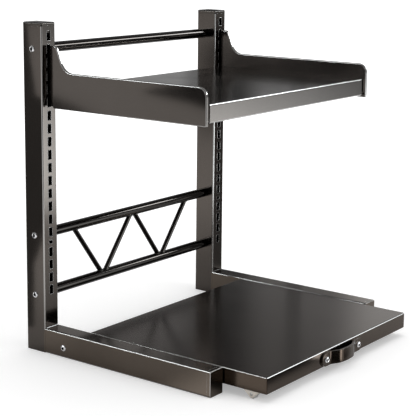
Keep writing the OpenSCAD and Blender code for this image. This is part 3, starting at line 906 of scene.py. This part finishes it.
@dataclass
class SideFrame(Assembly):
    """One welded side frame: upright, foot and their two caps."""

    side: Side
    tube_r: float = 0.0025
    tube_ease: float = 0.0004
    cap_ease: float = 0.0002
    weld_gap: float = 0.0003
    bead_r: float = 0.0011
    bead_sides: int = 16
    bead_ripple: float = 0.25
    bead_ripple_size: float = 0.003
    rim_r: float = 0.00026
    rim_sides: int = 8
    rim_reach: float = 0.008
    face_along: float = 0.99
    wall_along: float = 0.1

    def build(self) -> None:
        """Makes the pieces."""
        word = self.side.word
        for part, finish, ease, slot in (("upright", FRAME_COAT, self.tube_ease, "frame_metal"),
                                         ("foot", FOOT_COAT, self.tube_ease, "frame_metal"),
                                         ("upright_cap", CAP_COAT, self.cap_ease, "cap"),
                                         ("foot_cap", FOOT_COAT, self.cap_ease, "cap")):
            self.shop.copy(part, finish, ease, STAND, slot, self.side)
        self.shop.keep(f"guide_strip_{word}", STRIP)
        low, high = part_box(f"upright_{word}")
        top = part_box(f"foot_{word}")[1].z
        self.ground_weld(low, high, top - self.tube_r)
        line = [Vector((x, low.y, top)) for x in (low.x + self.tube_r, high.x - self.tube_r)]
        # The bead and the slot rims take the light edge tone on every face: a painted highlight.
        self.bright(self.shop.bar(f"foot_bead_{word}", [line], FOOT_COAT, self.bead_r, self.bead_sides,
                                  ripple=self.bead_ripple, ripple_size=self.bead_ripple_size))
        self.bright(self.shop.bar(f"slot_rims_{word}", self.slot_lines(low.y), FRAME_COAT, self.rim_r,
                                  self.rim_sides, closed=True))

    def ground_weld(self, low: Vector, high: Vector, top: float) -> None:
        """Fills the grooves between upright and foot flush with both, as a weld that was ground flat.

        Args:
            low: Lowest corner of the upright's box.
            high: Highest corner of it.
            top: Z up to which the weld goes.
        """
        mesh = bmesh.new()
        for face_x, inner_x in ((low.x, low.x + self.tube_r), (high.x, high.x - self.tube_r)):
            flat = [(face_x, low.y - self.weld_gap), (face_x, low.y + self.tube_r), (inner_x, low.y - self.weld_gap)]
            rows = [[mesh.verts.new((x, y, z)) for x, y in flat] for z in (low.z + self.tube_ease, top)]
            for row in rows:
                mesh.faces.new(row)
            for i in range(3):
                j = (i + 1) % 3
                mesh.faces.new((rows[0][i], rows[0][j], rows[1][j], rows[1][i]))
        made = as_object(f"ground_weld_{self.side.word}", faced_out(mesh), self.shop.materials[FOOT_COAT.name])
        self.shop.hand_over(made, STAND, "frame_metal")

    def bright(self, made: Piece) -> None:
        """Hands over a bead or rim with the edge tone on every face, a painted highlight."""
        self.shop.hand_over(polished(made, below=EVERY_FACE), STAND, "frame_metal")

    def slot_lines(self, front: float) -> list[list[Vector]]:
        """Finds the slots' edges in the upright's front, where the punch leaves a fine rolled rim.

        Args:
            front: Y of the upright's front.

        Returns:
            The closed line round each slot.
        """
        node = f"upright_{self.side.word}"
        mesh = self.shop.cad_mesh(node)
        mesh.verts.index_update()
        mesh.verts.ensure_lookup_table()
        near = abs(middle(node).x) - self.rim_reach, abs(middle(node).x) + self.rim_reach
        beside: dict[int, list[bmesh.types.BMVert]] = {}
        for edge in mesh.edges:
            turn = [abs(face.normal.y) for face in edge.link_faces]
            if len(turn) == 2 and max(turn) > self.face_along and min(turn) < self.wall_along and all(
                    abs(v.co.y - front) < 2 * MERGE and near[0] < abs(v.co.x) < near[1] for v in edge.verts):
                for v in edge.verts:
                    beside.setdefault(v.index, []).append(edge.other_vert(v))
        lines, seen = [], set()
        for start in sorted(beside):
            line, here = [], mesh.verts[start]
            while here is not None and here.index not in seen:
                seen.add(here.index)
                line.append(here.co.copy())
                here = next((v for v in beside[here.index] if v.index not in seen), None)
            if line:
                lines.append(line)
        mesh.free()
        return lines


@dataclass
class RoundTubes(Assembly):
    """The rail, the two truss tubes and the base tube."""

    sides: int = 64

    def build(self) -> None:
        """Sweeps each tube along its axis."""
        for node in TUBES:
            low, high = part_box(node)
            axis = (low + high) / 2
            ends = (Vector((x, axis.y, axis.z)) for x in (low.x, high.x))
            self.shop.tube(node, *ends, (high.z - low.z) / 2, self.sides)
        self.shop.keep("tube_inserts", ZINC)


@dataclass
class Truss(Assembly):
    """The slanting rods between the truss tubes, and the weld bead round each of their ends."""

    count: int = 4
    rod_r: float = 0.004
    sides: int = 40
    sink: float = 0.0012
    bead_r: float = 0.0008
    bead_steps: int = 56
    bead_sides: int = 10
    bead_ripple: float = 0.9
    bead_ripple_size: float = 0.0016

    def build(self) -> None:
        """Sweeps the rods and their beads."""
        top, low = middle("truss_top_tube"), middle("truss_bottom_tube")
        box_low, box_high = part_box("truss_top_tube")
        tube_r = (box_high.z - box_low.z) / 2
        beads = []
        for k in range(self.count):
            node = f"truss_rod_{k + 1}"
            ends = [corner.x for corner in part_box(node)][::1 if k % 2 == 0 else -1]
            start, end = Vector((ends[0], top.y, top.z)), Vector((ends[1], low.y, low.z))
            along = (end - start).normalized()
            inside = along * (tube_r - self.sink) / abs(along.z)
            self.shop.tube(node, start + inside, end - inside, self.rod_r, self.sides)
            beads += [self.saddle(start, along, tube_r), self.saddle(end, -along, tube_r)]
        made = self.shop.bar("truss_weld_beads", beads, WELD, self.bead_r, self.bead_sides, closed=True,
                             ripple=self.bead_ripple, ripple_size=self.bead_ripple_size)
        self.shop.hand_over(made, STAND, "frame_metal")

    def saddle(self, centre: Vector, along: Vector, tube_r: float) -> list[Vector]:
        """Line where a rod's surface meets a tube that runs along X.

        Args:
            centre: Point on the tube's axis that the rod's axis meets.
            along: Direction of the rod away from the tube.
            tube_r: Radius of the tube.

        Returns:
            The closed line's points.
        """
        across = Vector((0.0, 1.0, 0.0))
        up = along.cross(across)
        line = []
        for k in range(self.bead_steps):
            angle = math.tau * k / self.bead_steps
            off = self.rod_r * (math.cos(angle) * across + math.sin(angle) * up)
            rise = math.sqrt(tube_r ** 2 - off.y ** 2) * (1.0 if along.z > 0 else -1.0)
            line.append(centre + off + along * (rise - off.z) / along.z)
        return line


@dataclass
class FrameScrews(Assembly):
    """The chrome screws that pull the uprights and feet against the round tubes."""

    shank_r: float = 0.003
    head_r: float = 0.005
    head_h: float = 0.0032
    seed: int = 3

    def build(self) -> None:
        """Sets four screws on each side."""
        for side in Side:
            node = f"frame_screws_{side.word}"
            low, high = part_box(node)
            outer = (high.x if side is Side.RIGHT else -low.x) - self.head_h
            screw = DomeScrew(self.shank_r, high.x - low.x - self.head_h, self.head_r, self.head_h)
            points = [(Vector((side.value * outer, *middle(tube).yz)), Vector((side.value, 0, 0))) for tube in TUBES]
            self.shop.fasteners(node, screw.mesh(), points, CHROME, self.seed + side.value, STAND, "screw")


# Shelf


@dataclass
class BracketPanel(Assembly):
    """A hollow side panel of the shelf: two dished shells with rounded edges that meet in a fine seam."""

    side: Side
    neck_w: float = 0.013
    neck_run: float = 0.016
    neck_r: float = 0.024
    arm_h: float = 0.055
    nose_r: float = 0.015
    small_r: float = 0.0026
    back_cut_h: float = 0.017
    back_cut_w: float = 0.006
    edge_r: float = 0.0018
    seam_w: float = 0.0006
    seam_depth: float = 0.0005
    hook_ease: float = 0.0003
    arc_steps: int = 14
    edge_steps: int = 6

    def corners(self, low: Vector, high: Vector) -> Corners:
        """Corners and radii of the side outline, in Y and Z, anticlockwise seen from +X.

        Args:
            low: Lowest corner of the panel's box.
            high: Highest corner of it.

        Returns:
            Pairs of corner and radius.
        """
        back, front, bottom, top = high.y, low.y, low.z, high.z
        arm = bottom + self.arm_h
        return [(Vector(place), radius) for place, radius in (
            ((back, bottom + self.back_cut_h), self.small_r),
            ((back, top), self.small_r),
            ((back - self.neck_w, top), self.small_r * 2),
            ((back - self.neck_w - self.neck_run, arm), self.neck_r),
            ((front, arm), self.nose_r),
            ((front, bottom), self.small_r),
            ((back - self.back_cut_w, bottom), self.small_r))]

    def build(self) -> None:
        """Lofts the panel from its inner face over both edges to its outer face, and makes its hook plate."""
        nodes = [f"bracket_shell_{part}_{self.side.word}" for part in ("outer", "inner")]
        (low, high), (inner_low, inner_high) = (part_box(node) for node in nodes)
        half = (high.x - low.x + inner_high.x - inner_low.x) / 4
        x_mid = (min(low.x, inner_low.x) + max(high.x, inner_high.x)) / 2
        profile = [(half - x, inset) for x, inset in quarter(self.edge_r, self.edge_steps)]
        profile += [(self.seam_w / 2, 0.0), (0.0, self.seam_depth)]
        across = [(-x, inset) for x, inset in profile] + profile[-2::-1]
        corners = self.corners(low, high)
        rings = [[Vector((x_mid + x, p.x, p.y)) for p in closed_outline(moved_in(corners, inset), self.arc_steps)]
                 for x, inset in across]
        made = as_object(f"bracket_panel_{self.side.word}", faced_out(skin(rings)),
                         self.shop.materials[SHELF_COAT.name], ROUND_CREASE)
        # The rounded edges take the light edge tone: a painted highlight.
        made = polished(frozen(modified(made, "WEIGHTED_NORMAL", keep_sharp=True)))
        self.shop.hand_over(made, SHELF, "shelf_metal", *nodes)
        self.shop.copy("hook_plate", BLACK_PLATE, self.hook_ease, SHELF, "hook_plate", self.side)


@dataclass
class ShelfDeck(Assembly):
    """The folded deck with its lip, its two ribs and the screws that hold it to the panels."""

    deck_ease: float = 0.00022
    shank_r: float = 0.0025
    head_r: float = 0.00475
    head_h: float = 0.0034
    screws_a_side: int = 3
    seed: int = 7

    def build(self) -> None:
        """Makes the deck, ribs and fasteners."""
        for node in ("shelf_deck", "deck_rib_front", "deck_rib_rear"):
            self.shop.copy(node, SHELF_COAT, self.deck_ease, SHELF, "shelf_metal")
        low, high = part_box("shelf_screws")
        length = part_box("shelf_nuts")[1].x - high.x
        screw = DomeScrew(self.shank_r, length + self.head_h, self.head_r, self.head_h)
        first, last = low.y + self.head_r, high.y - self.head_r
        step = (last - first) / (self.screws_a_side - 1)
        inner_x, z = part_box("shelf_deck")[1].x - SHEET, middle("shelf_screws").z
        points = [(Vector((side.value * inner_x, first + step * k, z)), Vector((-side.value, 0, 0)))
                  for side in Side for k in range(self.screws_a_side)]
        self.shop.fasteners("shelf_screws", screw.mesh(), points, CHROME, self.seed, SHELF, "plated_part")
        self.shop.keep("shelf_nuts", ZINC)


# Tray


@dataclass
class TrayPan(Assembly):
    """The flat tray folded down on four sides, open below."""

    edge_r: float = 0.0018
    least_share: float = 0.04
    edge_steps: int = 5
    hem_ease: float = 0.0003
    hem_turn: float = 60.0
    polish_rise: float = 0.3
    channel_ease: float = 0.00022
    bumper_ease: float = 0.0004

    def build(self) -> None:
        """Makes the pan, its two channels and its bumpers."""
        low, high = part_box("tray_pan")
        rings = [self.ring(low, high, 0.0, low.z)]
        rings += [self.ring(low, high, inset, high.z - drop) for inset, drop in quarter(self.edge_r, self.edge_steps)]
        mesh = skin(rings)
        bottom = [face for face in mesh.faces if all(v.co.z < low.z + MERGE for v in face.verts)]
        bmesh.ops.delete(mesh, geom=bottom, context="FACES_ONLY")
        made = as_object("tray_pan_shape", mesh, self.shop.materials[TRAY_COAT.name])
        made = frozen(modified(made, "SOLIDIFY", thickness=SHEET, offset=-1.0, use_even_offset=True))
        # Rims whose normal rises take the light edge tone: a painted highlight.
        made = eased(made, self.hem_ease, above=self.hem_turn, rise=self.polish_rise)
        self.shop.hand_over(made, TRAY, "tray_metal", "tray_pan")
        for node in ("tray_channel_front", "tray_channel_rear"):
            self.shop.copy(node, TRAY_COAT, self.channel_ease, TRAY, "tray_metal")
        self.shop.copy("tray_bumpers", RUBBER, self.bumper_ease, TRAY, "bumper")

    def ring(self, low: Vector, high: Vector, inset: float, height: float) -> Ring:
        """A level ring round the pan with rounded corners.

        Args:
            low: Lowest corner of the pan.
            high: Highest corner of the pan.
            inset: How far the ring stands inside the pan's outline.
            height: Z of the ring.

        Returns:
            The ring's points.
        """
        radius = max(self.edge_r - inset, self.edge_r * self.least_share)
        corners = [(Vector((x, y)), radius) for x, y in (
            (low.x + inset, low.y + inset), (high.x - inset, low.y + inset),
            (high.x - inset, high.y - inset), (low.x + inset, high.y - inset))]
        return [Vector((p.x, p.y, height)) for p in closed_outline(corners, self.edge_steps)]


@dataclass
class TrayHandle(Assembly):
    """The strap handle: a flat bar bent into a bow between two round-ended tabs, on two chrome screws."""

    bar_t: float = 0.003
    bar_h: float = 0.020
    least_share: float = 0.02
    root_gap: float = 0.012
    lean: float = 0.015
    root_r: float = 0.012
    shoulder_r: float = 0.018
    crown: float = 0.0025
    crown_r: float = 0.090
    bend_steps: int = 10
    end_steps: int = 12
    ease: float = 0.0006
    ease_steps: int = 3
    polish_rise: float = 0.3
    shank_r: float = 0.0025
    head_r: float = 0.00475
    head_h: float = 0.0034
    bore_gap: float = 0.00005
    screw_seed: int = 11
    nut_seed: int = 12

    def path(self) -> list[Vector]:
        """Lays out the bar's middle line, seen from above.

        Returns:
            Its points, from the right tab to the left one.
        """
        low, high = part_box("handle_strap")
        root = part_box("handle_screws")[1].x - self.head_r - self.root_gap
        face = high.y - self.bar_t / 2
        bow = low.y + self.bar_t / 2
        half = [(Vector(((high.x - low.x) / 2, face)), 0.0), (Vector((root, face)), self.root_r),
                (Vector((root - self.lean, bow + self.crown)), self.shoulder_r), (Vector((0.0, bow)), self.crown_r)]
        mirrored = [(Vector((-p.x, p.y)), radius) for p, radius in half[2::-1]]
        return open_path(half + mirrored, self.bend_steps)

    def half_height(self, past: float) -> float:
        """Half of the bar's height, less where a tab ends in a half circle.

        Args:
            past: How far the place lies beyond the middle of that circle.

        Returns:
            Half of the bar's height there.
        """
        half = self.bar_h / 2
        round_half = half if past <= 0 else math.sqrt(max(half ** 2 - past ** 2, 0.0))
        return max(round_half, self.bar_h * self.least_share)

    def build(self) -> None:
        """Makes the strap, its screws and their nuts."""
        low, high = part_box("handle_strap")
        round_x = (high.x - low.x) / 2 - self.bar_h / 2
        z = middle("handle_strap").z
        path = self.path()
        tab, y = path[0]
        ends = [Vector((tab - x, y)) for x, _ in quarter(self.bar_h / 2, self.end_steps)]
        line = ends + path[1:-1] + [Vector((-p.x, p.y)) for p in reversed(ends)]
        rings = []
        for i, point in enumerate(line):
            before, after = line[max(i - 1, 0)], line[min(i + 1, len(line) - 1)]
            along = (after - before).normalized()
            out = Vector((-along.y, along.x)) * self.bar_t / 2
            half = self.half_height(abs(point.x) - round_x)
            rings.append([Vector((point.x + s * out.x, point.y + s * out.y, z + h * half))
                          for s, h in ((1, -1), (1, 1), (-1, 1), (-1, -1))])
        made = as_object("handle_strap_shape", faced_out(skin(rings)), self.shop.materials[TRAY_COAT.name])
        # Edges whose normal rises take the light edge tone: a painted highlight.
        made = eased(made, self.ease, self.ease_steps, rise=self.polish_rise)
        self.shop.hand_over(made, TRAY, "tray_metal", "handle_strap")
        low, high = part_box("handle_screws")
        screw = DomeScrew(self.shank_r, high.y - low.y - self.head_h, self.head_r, self.head_h)
        nut_low, nut_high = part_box("handle_nuts")
        nut = HexNut(nut_high.z - nut_low.z, nut_high.y - nut_low.y, self.shank_r + self.bore_gap)
        for node, part, seat, way, finish, seed, slot in (
                ("handle_screws", screw, low.y + self.head_h, -1, CHROME, self.screw_seed, "screw"),
                ("handle_nuts", nut, nut_low.y, 1, ZINC, self.nut_seed, "plated_part")):
            points = [(Vector((s * (high.x - self.head_r), seat, z)), Vector((0, way, 0))) for s in (1, -1)]
            self.shop.fasteners(node, part.mesh(), points, finish, seed, TRAY, slot)


@dataclass
class Casters(Assembly):
    """Four small wheels in pale pressed forks under the tray."""

    fork_ease: float = 0.00025
    bore_r: float = 0.00155
    tread_r: float = 0.0008
    tread_steps: int = 5
    rim_tread_share: float = 2.2
    web_gap: float = 0.0004
    hub_r: float = 0.0042
    hub_face_share: float = 0.62
    hub_foot_share: float = 0.72
    hub_dish: float = 0.0009
    steps: int = 64
    axle_r: float = 0.0015
    axle_steps: int = 24
    rivet_r: float = 0.0026
    rivet_h: float = 0.0008
    rivet_degrees: tuple[int, ...] = (0, 20, 40, 60, 80)
    seed: int = 5

    def wheel(self, radius: float, width: float) -> Mesh:
        """Builds one wheel round the Z axis, with a rounded tread and a dished web on both sides.

        Args:
            radius: Radius of the tread.
            width: Width of the wheel.

        Returns:
            A closed mesh.
        """
        half = width / 2
        web = half - self.hub_dish
        rim = radius - self.rim_tread_share * self.tread_r
        upper = [(self.bore_r, half), (self.hub_r * self.hub_face_share, half), (self.hub_r * self.hub_foot_share, web),
                 (rim - self.web_gap, web), (rim, half)]
        upper += [(radius - x, half - z) for x, z in reversed(quarter(self.tread_r, self.tread_steps))]
        profile = [(r, -h) for r, h in upper] + upper[::-1]
        return faced_out(skin([circle_ring(r, h, self.steps) for r, h in profile], closed=True))

    def axle(self, length: float) -> Mesh:
        """Builds one axle round the Z axis, riveted at both ends.

        Args:
            length: Length over both rivet heads.

        Returns:
            A closed mesh.
        """
        seat = length / 2 - self.rivet_h
        angles = [math.radians(degrees) for degrees in self.rivet_degrees]
        upper = [(self.axle_r, seat)]
        upper += [(self.rivet_r * math.cos(a), seat + self.rivet_h * math.sin(a)) for a in angles]
        profile = [(r, -h) for r, h in reversed(upper)] + upper
        return faced_out(skin([circle_ring(r, h, self.axle_steps) for r, h in profile]))

    def build(self) -> None:
        """Makes the forks, axles and wheels."""
        hubs = []
        for corner in Corner:
            node = f"wheel_{corner.value}"
            low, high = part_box(node)
            hub = (low + high) / 2
            hubs.append((hub, Vector((1, 0, 0))))
            mesh = self.wheel((high.z - low.z) / 2, high.x - low.x)
            bmesh.ops.transform(mesh, verts=mesh.verts,
                                matrix=Matrix.Translation(hub) @ Matrix.Rotation(math.pi / 2, 4, "Y"))
            made = as_object(f"{node}_shape", mesh, self.shop.materials[WHEEL.name], ROUND_CREASE)
            self.shop.hand_over(made, f"{node}_body", "caster_wheel", node)
            self.shop.copy(f"fork_{corner.value}", PALE_PLATE, self.fork_ease, TRAY, "caster_fork")
        length = 2 * (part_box("caster_axles")[1].x - max(hub.x for hub, _ in hubs))
        self.shop.fasteners("caster_axles", self.axle(length), hubs, ZINC, self.seed, TRAY, "plated_part")


# Studio


@dataclass(frozen=True)
class Softbox:
    """A rectangular lamp that looks at a point."""

    name: str
    place: Place
    target: Place
    width: float
    height: float
    radiance: float

    def build(self) -> None:
        """Makes the lamp, which neither the camera nor the metal's reflections see."""
        lamp = bpy.data.lights.new(self.name, "AREA")
        lamp.shape = "RECTANGLE"
        lamp.size = self.width
        lamp.size_y = self.height
        lamp.energy = self.radiance * math.pi * self.width * self.height
        made = linked(self.name, lamp)
        made.location = self.place
        aim = Vector(self.target) - Vector(self.place)
        made.rotation_euler = aim.to_track_quat("-Z", "Y").to_euler()
        made.visible_camera = False
        made.visible_glossy = False


def reflection_only(made: Piece) -> None:
    """Stages a card so that nothing but the metal's reflections sees it.

    Args:
        made: The card.
    """
    made.visible_camera = False
    made.visible_diffuse = False
    made.visible_shadow = False
    made.visible_transmission = False


@dataclass(frozen=True)
class Card:
    """A studio card with soft edges that only the metal's reflections see; it stands unless it leans."""

    name: str
    start: tuple[float, float]
    end: tuple[float, float]
    low: float
    high: float
    level: float
    soft: tuple[float, float, float, float]
    end_level: float | None = None
    colour: Colour = (1.0, 1.0, 1.0)
    lean: tuple[float, float] = (0.0, 0.0)

    def build(self) -> None:
        """Makes the card as part of the stage."""
        mesh = bmesh.new()
        layer = mesh.loops.layers.uv.new("card")
        ends = (Vector((*self.start, self.low)), Vector((*self.end, self.low)))
        rise = Vector((*self.lean, self.high - self.low))
        face = mesh.faces.new([mesh.verts.new(corner) for corner in (*ends, ends[1] + rise, ends[0] + rise)])
        for loop, corner in zip(face.loops, ((0, 0), (1, 0), (1, 1), (0, 1))):
            loop[layer].uv = corner
        reflection_only(as_object(self.name, mesh, self.material()))

    def material(self) -> bpy.types.Material:
        """Makes the card's glow, which fades out by its soft shares at start, end, foot and top.

        Returns:
            The material.
        """
        material, bench = new_material(self.name)
        split = bench.add("ShaderNodeSeparateXYZ", {0: bench.add("ShaderNodeTexCoord").outputs["UV"]})
        fades = []
        for (axis, edge), soft in zip((("X", 0.0), ("X", 1.0), ("Y", 0.0), ("Y", 1.0)), self.soft):
            inner = edge + (soft if edge == 0.0 else -soft)
            fades.append(bench.add("ShaderNodeMapRange", {0: split.outputs[axis], 1: edge, 2: inner},
                                   interpolation_type="SMOOTHSTEP").outputs[0])
        cover = fades[0]
        for fade in fades[1:]:
            cover = bench.calc("MULTIPLY", cover, fade)
        last = self.level if self.end_level is None else self.end_level
        strength = bench.add("ShaderNodeMapRange", {0: split.outputs["X"], 3: self.level, 4: last})
        glow = bench.add("ShaderNodeEmission", {"Color": (*self.colour, 1.0), "Strength": strength.outputs[0]})
        clear = bench.add("ShaderNodeBsdfTransparent")
        mix = bench.add("ShaderNodeMixShader", {0: cover, 1: clear.outputs[0], 2: glow.outputs[0]})
        bench.add("ShaderNodeOutputMaterial", {"Surface": mix.outputs[0]})
        return material


def facing_card(name: str, azimuth: float, distance: float, width: float, low: float, high: float, level: float,
                soft: tuple[float, float, float, float], slide: float = 0.0, **look: object) -> Card:
    """Places a card square to the line from the stand's middle.

    Args:
        name: The card's name.
        azimuth: Direction of the card from the stand, in degrees from +Y towards +X.
        distance: Distance of the card from the stand's middle.
        width: Width of the card.
        low: Z of its lower edge.
        high: Z of its upper edge.
        level: Brightness, 1 for white.
        soft: Soft shares at start, end, foot and top.
        slide: How far its middle lies to the right of the azimuth, seen from the stand.
        **look: Further fields of the card.

    Returns:
        The card.
    """
    turn = math.radians(azimuth)
    out, along = Vector((math.sin(turn), math.cos(turn))), Vector((math.cos(turn), -math.sin(turn)))
    start = out * distance + along * (slide - width / 2)
    end = out * distance + along * (slide + width / 2)
    return Card(name, tuple(start), tuple(end), low, high, level, soft, **look)


@dataclass(frozen=True)
class Flag:
    """An even card of any outline that only the metal's reflections see."""

    name: str
    level: float
    corners: tuple[Place, ...]

    def build(self) -> None:
        """Makes the flag as part of the stage."""
        material, bench = new_material(self.name)
        glow = bench.add("ShaderNodeEmission", {"Strength": self.level})
        bench.add("ShaderNodeOutputMaterial", {"Surface": glow.outputs[0]})
        mesh = bmesh.new()
        mesh.faces.new([mesh.verts.new(corner) for corner in self.corners])
        reflection_only(as_object(self.name, mesh, material))


def stood(origin: tuple[float, float], along: tuple[float, float], *outline: tuple[float, float]) -> tuple[Place, ...]:
    """Stands a flag's outline up.

    Args:
        origin: X and Y of the outline's step 0.
        along: Direction of its steps.
        *outline: Pairs of step and height.

    Returns:
        The flag's corners.
    """
    return tuple((origin[0] + along[0] * step, origin[1] + along[1] * step, height) for step, height in outline)


@dataclass(frozen=True)
class Glow:
    """The floor's own glow, rising with the distance from the stand's middle."""

    near: float
    far: float
    low: float
    high: float


@dataclass
class Studio:
    """Camera, floor, white background, lamps and cards."""

    place: Place = (-1.5959, -1.1480, 0.6429)
    yaw: float = 53.205
    pitch: float = -10.541
    roll: float = 0.625
    focal_px: float = 1273.8
    rise_px: float = 38.0
    image_px: int = 416
    sensor: float = 36.0
    floor_half: float = 12.0
    floor_light: float = 0.8
    camera_glow: Glow = Glow(0.35, 2.2, 0.35, 0.95)
    metal_glow: Glow = Glow(0.3, 0.8, 0.0, 0.5)
    world_light: float = 0.55
    world_seen: float = 1.0
    lamps: tuple[Softbox, ...] = (
        Softbox("overhead_lamp", (0.2, 0.2, 2.3), (0.0, 0.0, 0.2), 2.2, 1.8, 2.0),
        Softbox("front_lamp", (0.6, -2.4, 1.5), (0.0, 0.0, 0.25), 1.6, 1.0, 2.5),
    )
    cards: tuple[Card | Flag, ...] = (
        Flag("grey_ceiling", 0.28, ((-6.5, 6.5, 3.2), (6.5, 6.5, 3.2), (6.5, -6.5, 3.2), (-6.5, -6.5, 3.2))),
        *(facing_card(f"surround_{word}", azimuth, 2.6, 2.8, 0.3, 1.4, level, (0.05, 0.05, 0.2, 0.2))
          for word, azimuth, level in (("back_right", 53.0, 0.28), ("back_left", -37.0, 0.36),
                                       ("front_left", 233.0, 0.36), ("front_right", 143.0, 0.36))),
        facing_card("back_left_glow", 53.0, 2.25, 0.50, 0.45, 0.98, 0.44, (0.1, 0.1, 0.2, 0.45), -0.33),
        facing_card("back_band", 53.0, 2.2, 0.26, 0.3, 1.4, 0.05, (0.4, 0.4, 0.2, 0.2), 0.04),
        facing_card("back_upper_shade", 53.0, 2.3, 0.46, 0.66, 1.4, 0.17, (0.3, 0.3, 0.15, 0.2), -0.10),
        facing_card("back_right_glow", 53.0, 2.3, 1.0, 0.3, 1.4, 0.92, (0.14, 0.05, 0.2, 0.2), 0.91),
        facing_card("left_glow", -50.0, 3.0, 2.4, -0.02, 0.34, 1.12, (0.2, 0.2, 0.2, 0.1)),
        *(facing_card(name, azimuth, 4.0, 3.2, 1.70, 2.70, level, (0.2, 0.2, 0.3, 0.3), colour=(0.92, 0.97, 1.0))
          for name, azimuth, level in (("strip_right", 127.0, 24.0), ("strip_left", -48.0, 12.0))),
        Card("bright_panel", (0.158, -0.867), (0.7185, -0.282), -0.12, 0.56, 12.5, (0.1, 0.10, 0.31, 0.68),
             end_level=0.0, colour=(0.90, 0.96, 1.0)),
        Card("panel_back", (0.180, -0.888), (0.7405, -0.303), -0.12, 0.75, 0.06, (0.05, 0.05, 0.02, 0.15)),
        Card("handle_glint", (-0.0050, -0.2680), (0.0170, -0.2480), 0.000, 0.040, 5.0, (0.45, 0.45, 0.1, 0.1)),
        Card("foot_glow", (-0.370, -0.240), (-0.232, -0.240), 0.0010, 0.0011, 1.22, (0.35, 0.04, 0.15, 0.45),
             lean=(0.0, 0.22)),
        Card("tray_front_shade", (-0.200, -0.360), (0.120, -0.360), 0.0010, 0.0011, 0.01, (0.12, 0.3, 0.1, 0.2),
             lean=(0.0, 0.122)),
        Card("dark_right", (0.310, 0.060), (0.364, 0.131), 0.0, 0.52, 0.20, (0.1, 0.1, 0.02, 0.1)),
        Card("dark_back_left", (-0.50, 0.53), (-0.40, 0.69), 0.15, 0.42, 0.20, (0.1, 0.1, 0.2, 0.2)),
        facing_card("dark_behind_camera", 222.0, 0.9, 1.0, -0.1, 0.9, 0.03, (0.25, 0.25, 0.05, 0.2)),
        Flag("bracket_flag", 0.06, stood(
            (-0.356, 0.045), (0.632, 0.775), (0.055, 0.405), (-0.010, 0.420), (-0.090, 0.434), (-0.090, 0.364),
            (-0.010, 0.390))),
        Flag("upright_flag", 0.18, stood(
            (-0.3164, 0.2879), (0.703, 0.712), (0.0095, 0.52), (0.0064, 0.487), (0.0019, 0.438), (-0.0056, 0.385),
            (-0.028, 0.375), (-0.055, 0.363), (-0.080, 0.345), (-0.080, 0.18), (-0.020, 0.165), (0.0014, 0.107),
            (0.003, 0.0), (0.10, 0.0), (0.10, 0.52))),
    )

    def camera(self) -> None:
        """Sets the camera where the photograph was taken from."""
        yaw, pitch, roll = (math.radians(a) for a in (self.yaw, self.pitch, self.roll))
        forward = Vector((math.sin(yaw) * math.cos(pitch), math.cos(yaw) * math.cos(pitch), math.sin(pitch)))
        level = Vector((math.cos(yaw), -math.sin(yaw), 0.0))
        up = level.cross(forward)
        right = level * math.cos(roll) + up * math.sin(roll)
        top = up * math.cos(roll) - level * math.sin(roll)
        lens = bpy.data.cameras.new("photo_camera")
        lens.sensor_width = self.sensor
        lens.lens = self.focal_px * self.sensor / self.image_px
        lens.shift_y = -self.rise_px / self.image_px
        made = linked("photo_camera", lens)
        made.matrix_world = Matrix.Translation(self.place) @ Matrix((right, top, -forward)).transposed().to_4x4()
        bpy.context.scene.camera = made

    def floor(self) -> None:
        """Lays a plain pale floor that keeps its shadow and turns white with distance."""
        material, bench = new_material("pale_floor")
        path = bench.add("ShaderNodeLightPath").outputs
        where = bench.add("ShaderNodeTexCoord").outputs["Object"]
        away = bench.add("ShaderNodeVectorMath", {0: where}, operation="LENGTH").outputs["Value"]
        metal = bench.calc("MAXIMUM", path["Is Glossy Ray"], path["Is Transmission Ray"])
        parts = []
        for seen, rise in ((path["Is Camera Ray"], self.camera_glow), (metal, self.metal_glow)):
            glow = bench.add("ShaderNodeMapRange", {0: away, 1: rise.near, 2: rise.far, 3: rise.low, 4: rise.high},
                             interpolation_type="SMOOTHSTEP")
            parts.append(bench.calc("MULTIPLY", seen, glow.outputs[0]))
        matt = bench.add("ShaderNodeBsdfDiffuse", {"Color": (*[self.floor_light] * 3, 1.0)})
        fill = bench.add("ShaderNodeEmission", {"Strength": bench.calc("ADD", *parts)})
        both = bench.add("ShaderNodeAddShader", {0: matt.outputs[0], 1: fill.outputs[0]})
        bench.add("ShaderNodeOutputMaterial", {"Surface": both.outputs[0]})
        half = self.floor_half
        mesh = bmesh.new()
        mesh.faces.new([mesh.verts.new((x * half, y * half, 0.0)) for x, y in ((-1, -1), (1, -1), (1, 1), (-1, 1))])
        as_object("studio_floor", mesh, material)

    def world(self) -> None:
        """White background for the camera and for metal, a soft even light for the rest."""
        world = bpy.data.worlds.new("white_studio")
        bpy.context.scene.world = world
        world.use_nodes = True
        world.node_tree.nodes.clear()
        bench = NodeBench(world.node_tree)
        path = bench.add("ShaderNodeLightPath").outputs
        looks = bench.calc("MAXIMUM", path["Is Camera Ray"], path["Is Glossy Ray"])
        seen = bench.calc("MAXIMUM", looks, path["Is Transmission Ray"])
        colour = bench.blend(seen, (self.world_light,) * 3, (self.world_seen,) * 3)
        back = bench.add("ShaderNodeBackground", {"Color": colour})
        bench.add("ShaderNodeOutputWorld", {"Surface": back.outputs[0]})

    def build(self) -> None:
        """Sets up the whole studio."""
        bpy.context.scene.view_settings.view_transform = "Standard"
        self.camera()
        self.floor()
        self.world()
        for piece in (*self.lamps, *self.cards):
            piece.build()


def main() -> None:
    """Builds the stand round its frame and reports each piece."""
    logging.basicConfig(level=logging.INFO, format="%(name)s: %(message)s")
    for left_over in list(bpy.data.objects):
        bpy.data.objects.remove(left_over)
    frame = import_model()
    Studio().build()
    shop = Workshop(frame)
    for part in (*(SideFrame(shop, side) for side in Side), RoundTubes(shop), Truss(shop), FrameScrews(shop),
                 ShelfDeck(shop), *(BracketPanel(shop, side) for side in Side), TrayPan(shop), TrayHandle(shop),
                 Casters(shop)):
        part.build()


if __name__ == "__main__":
    main()
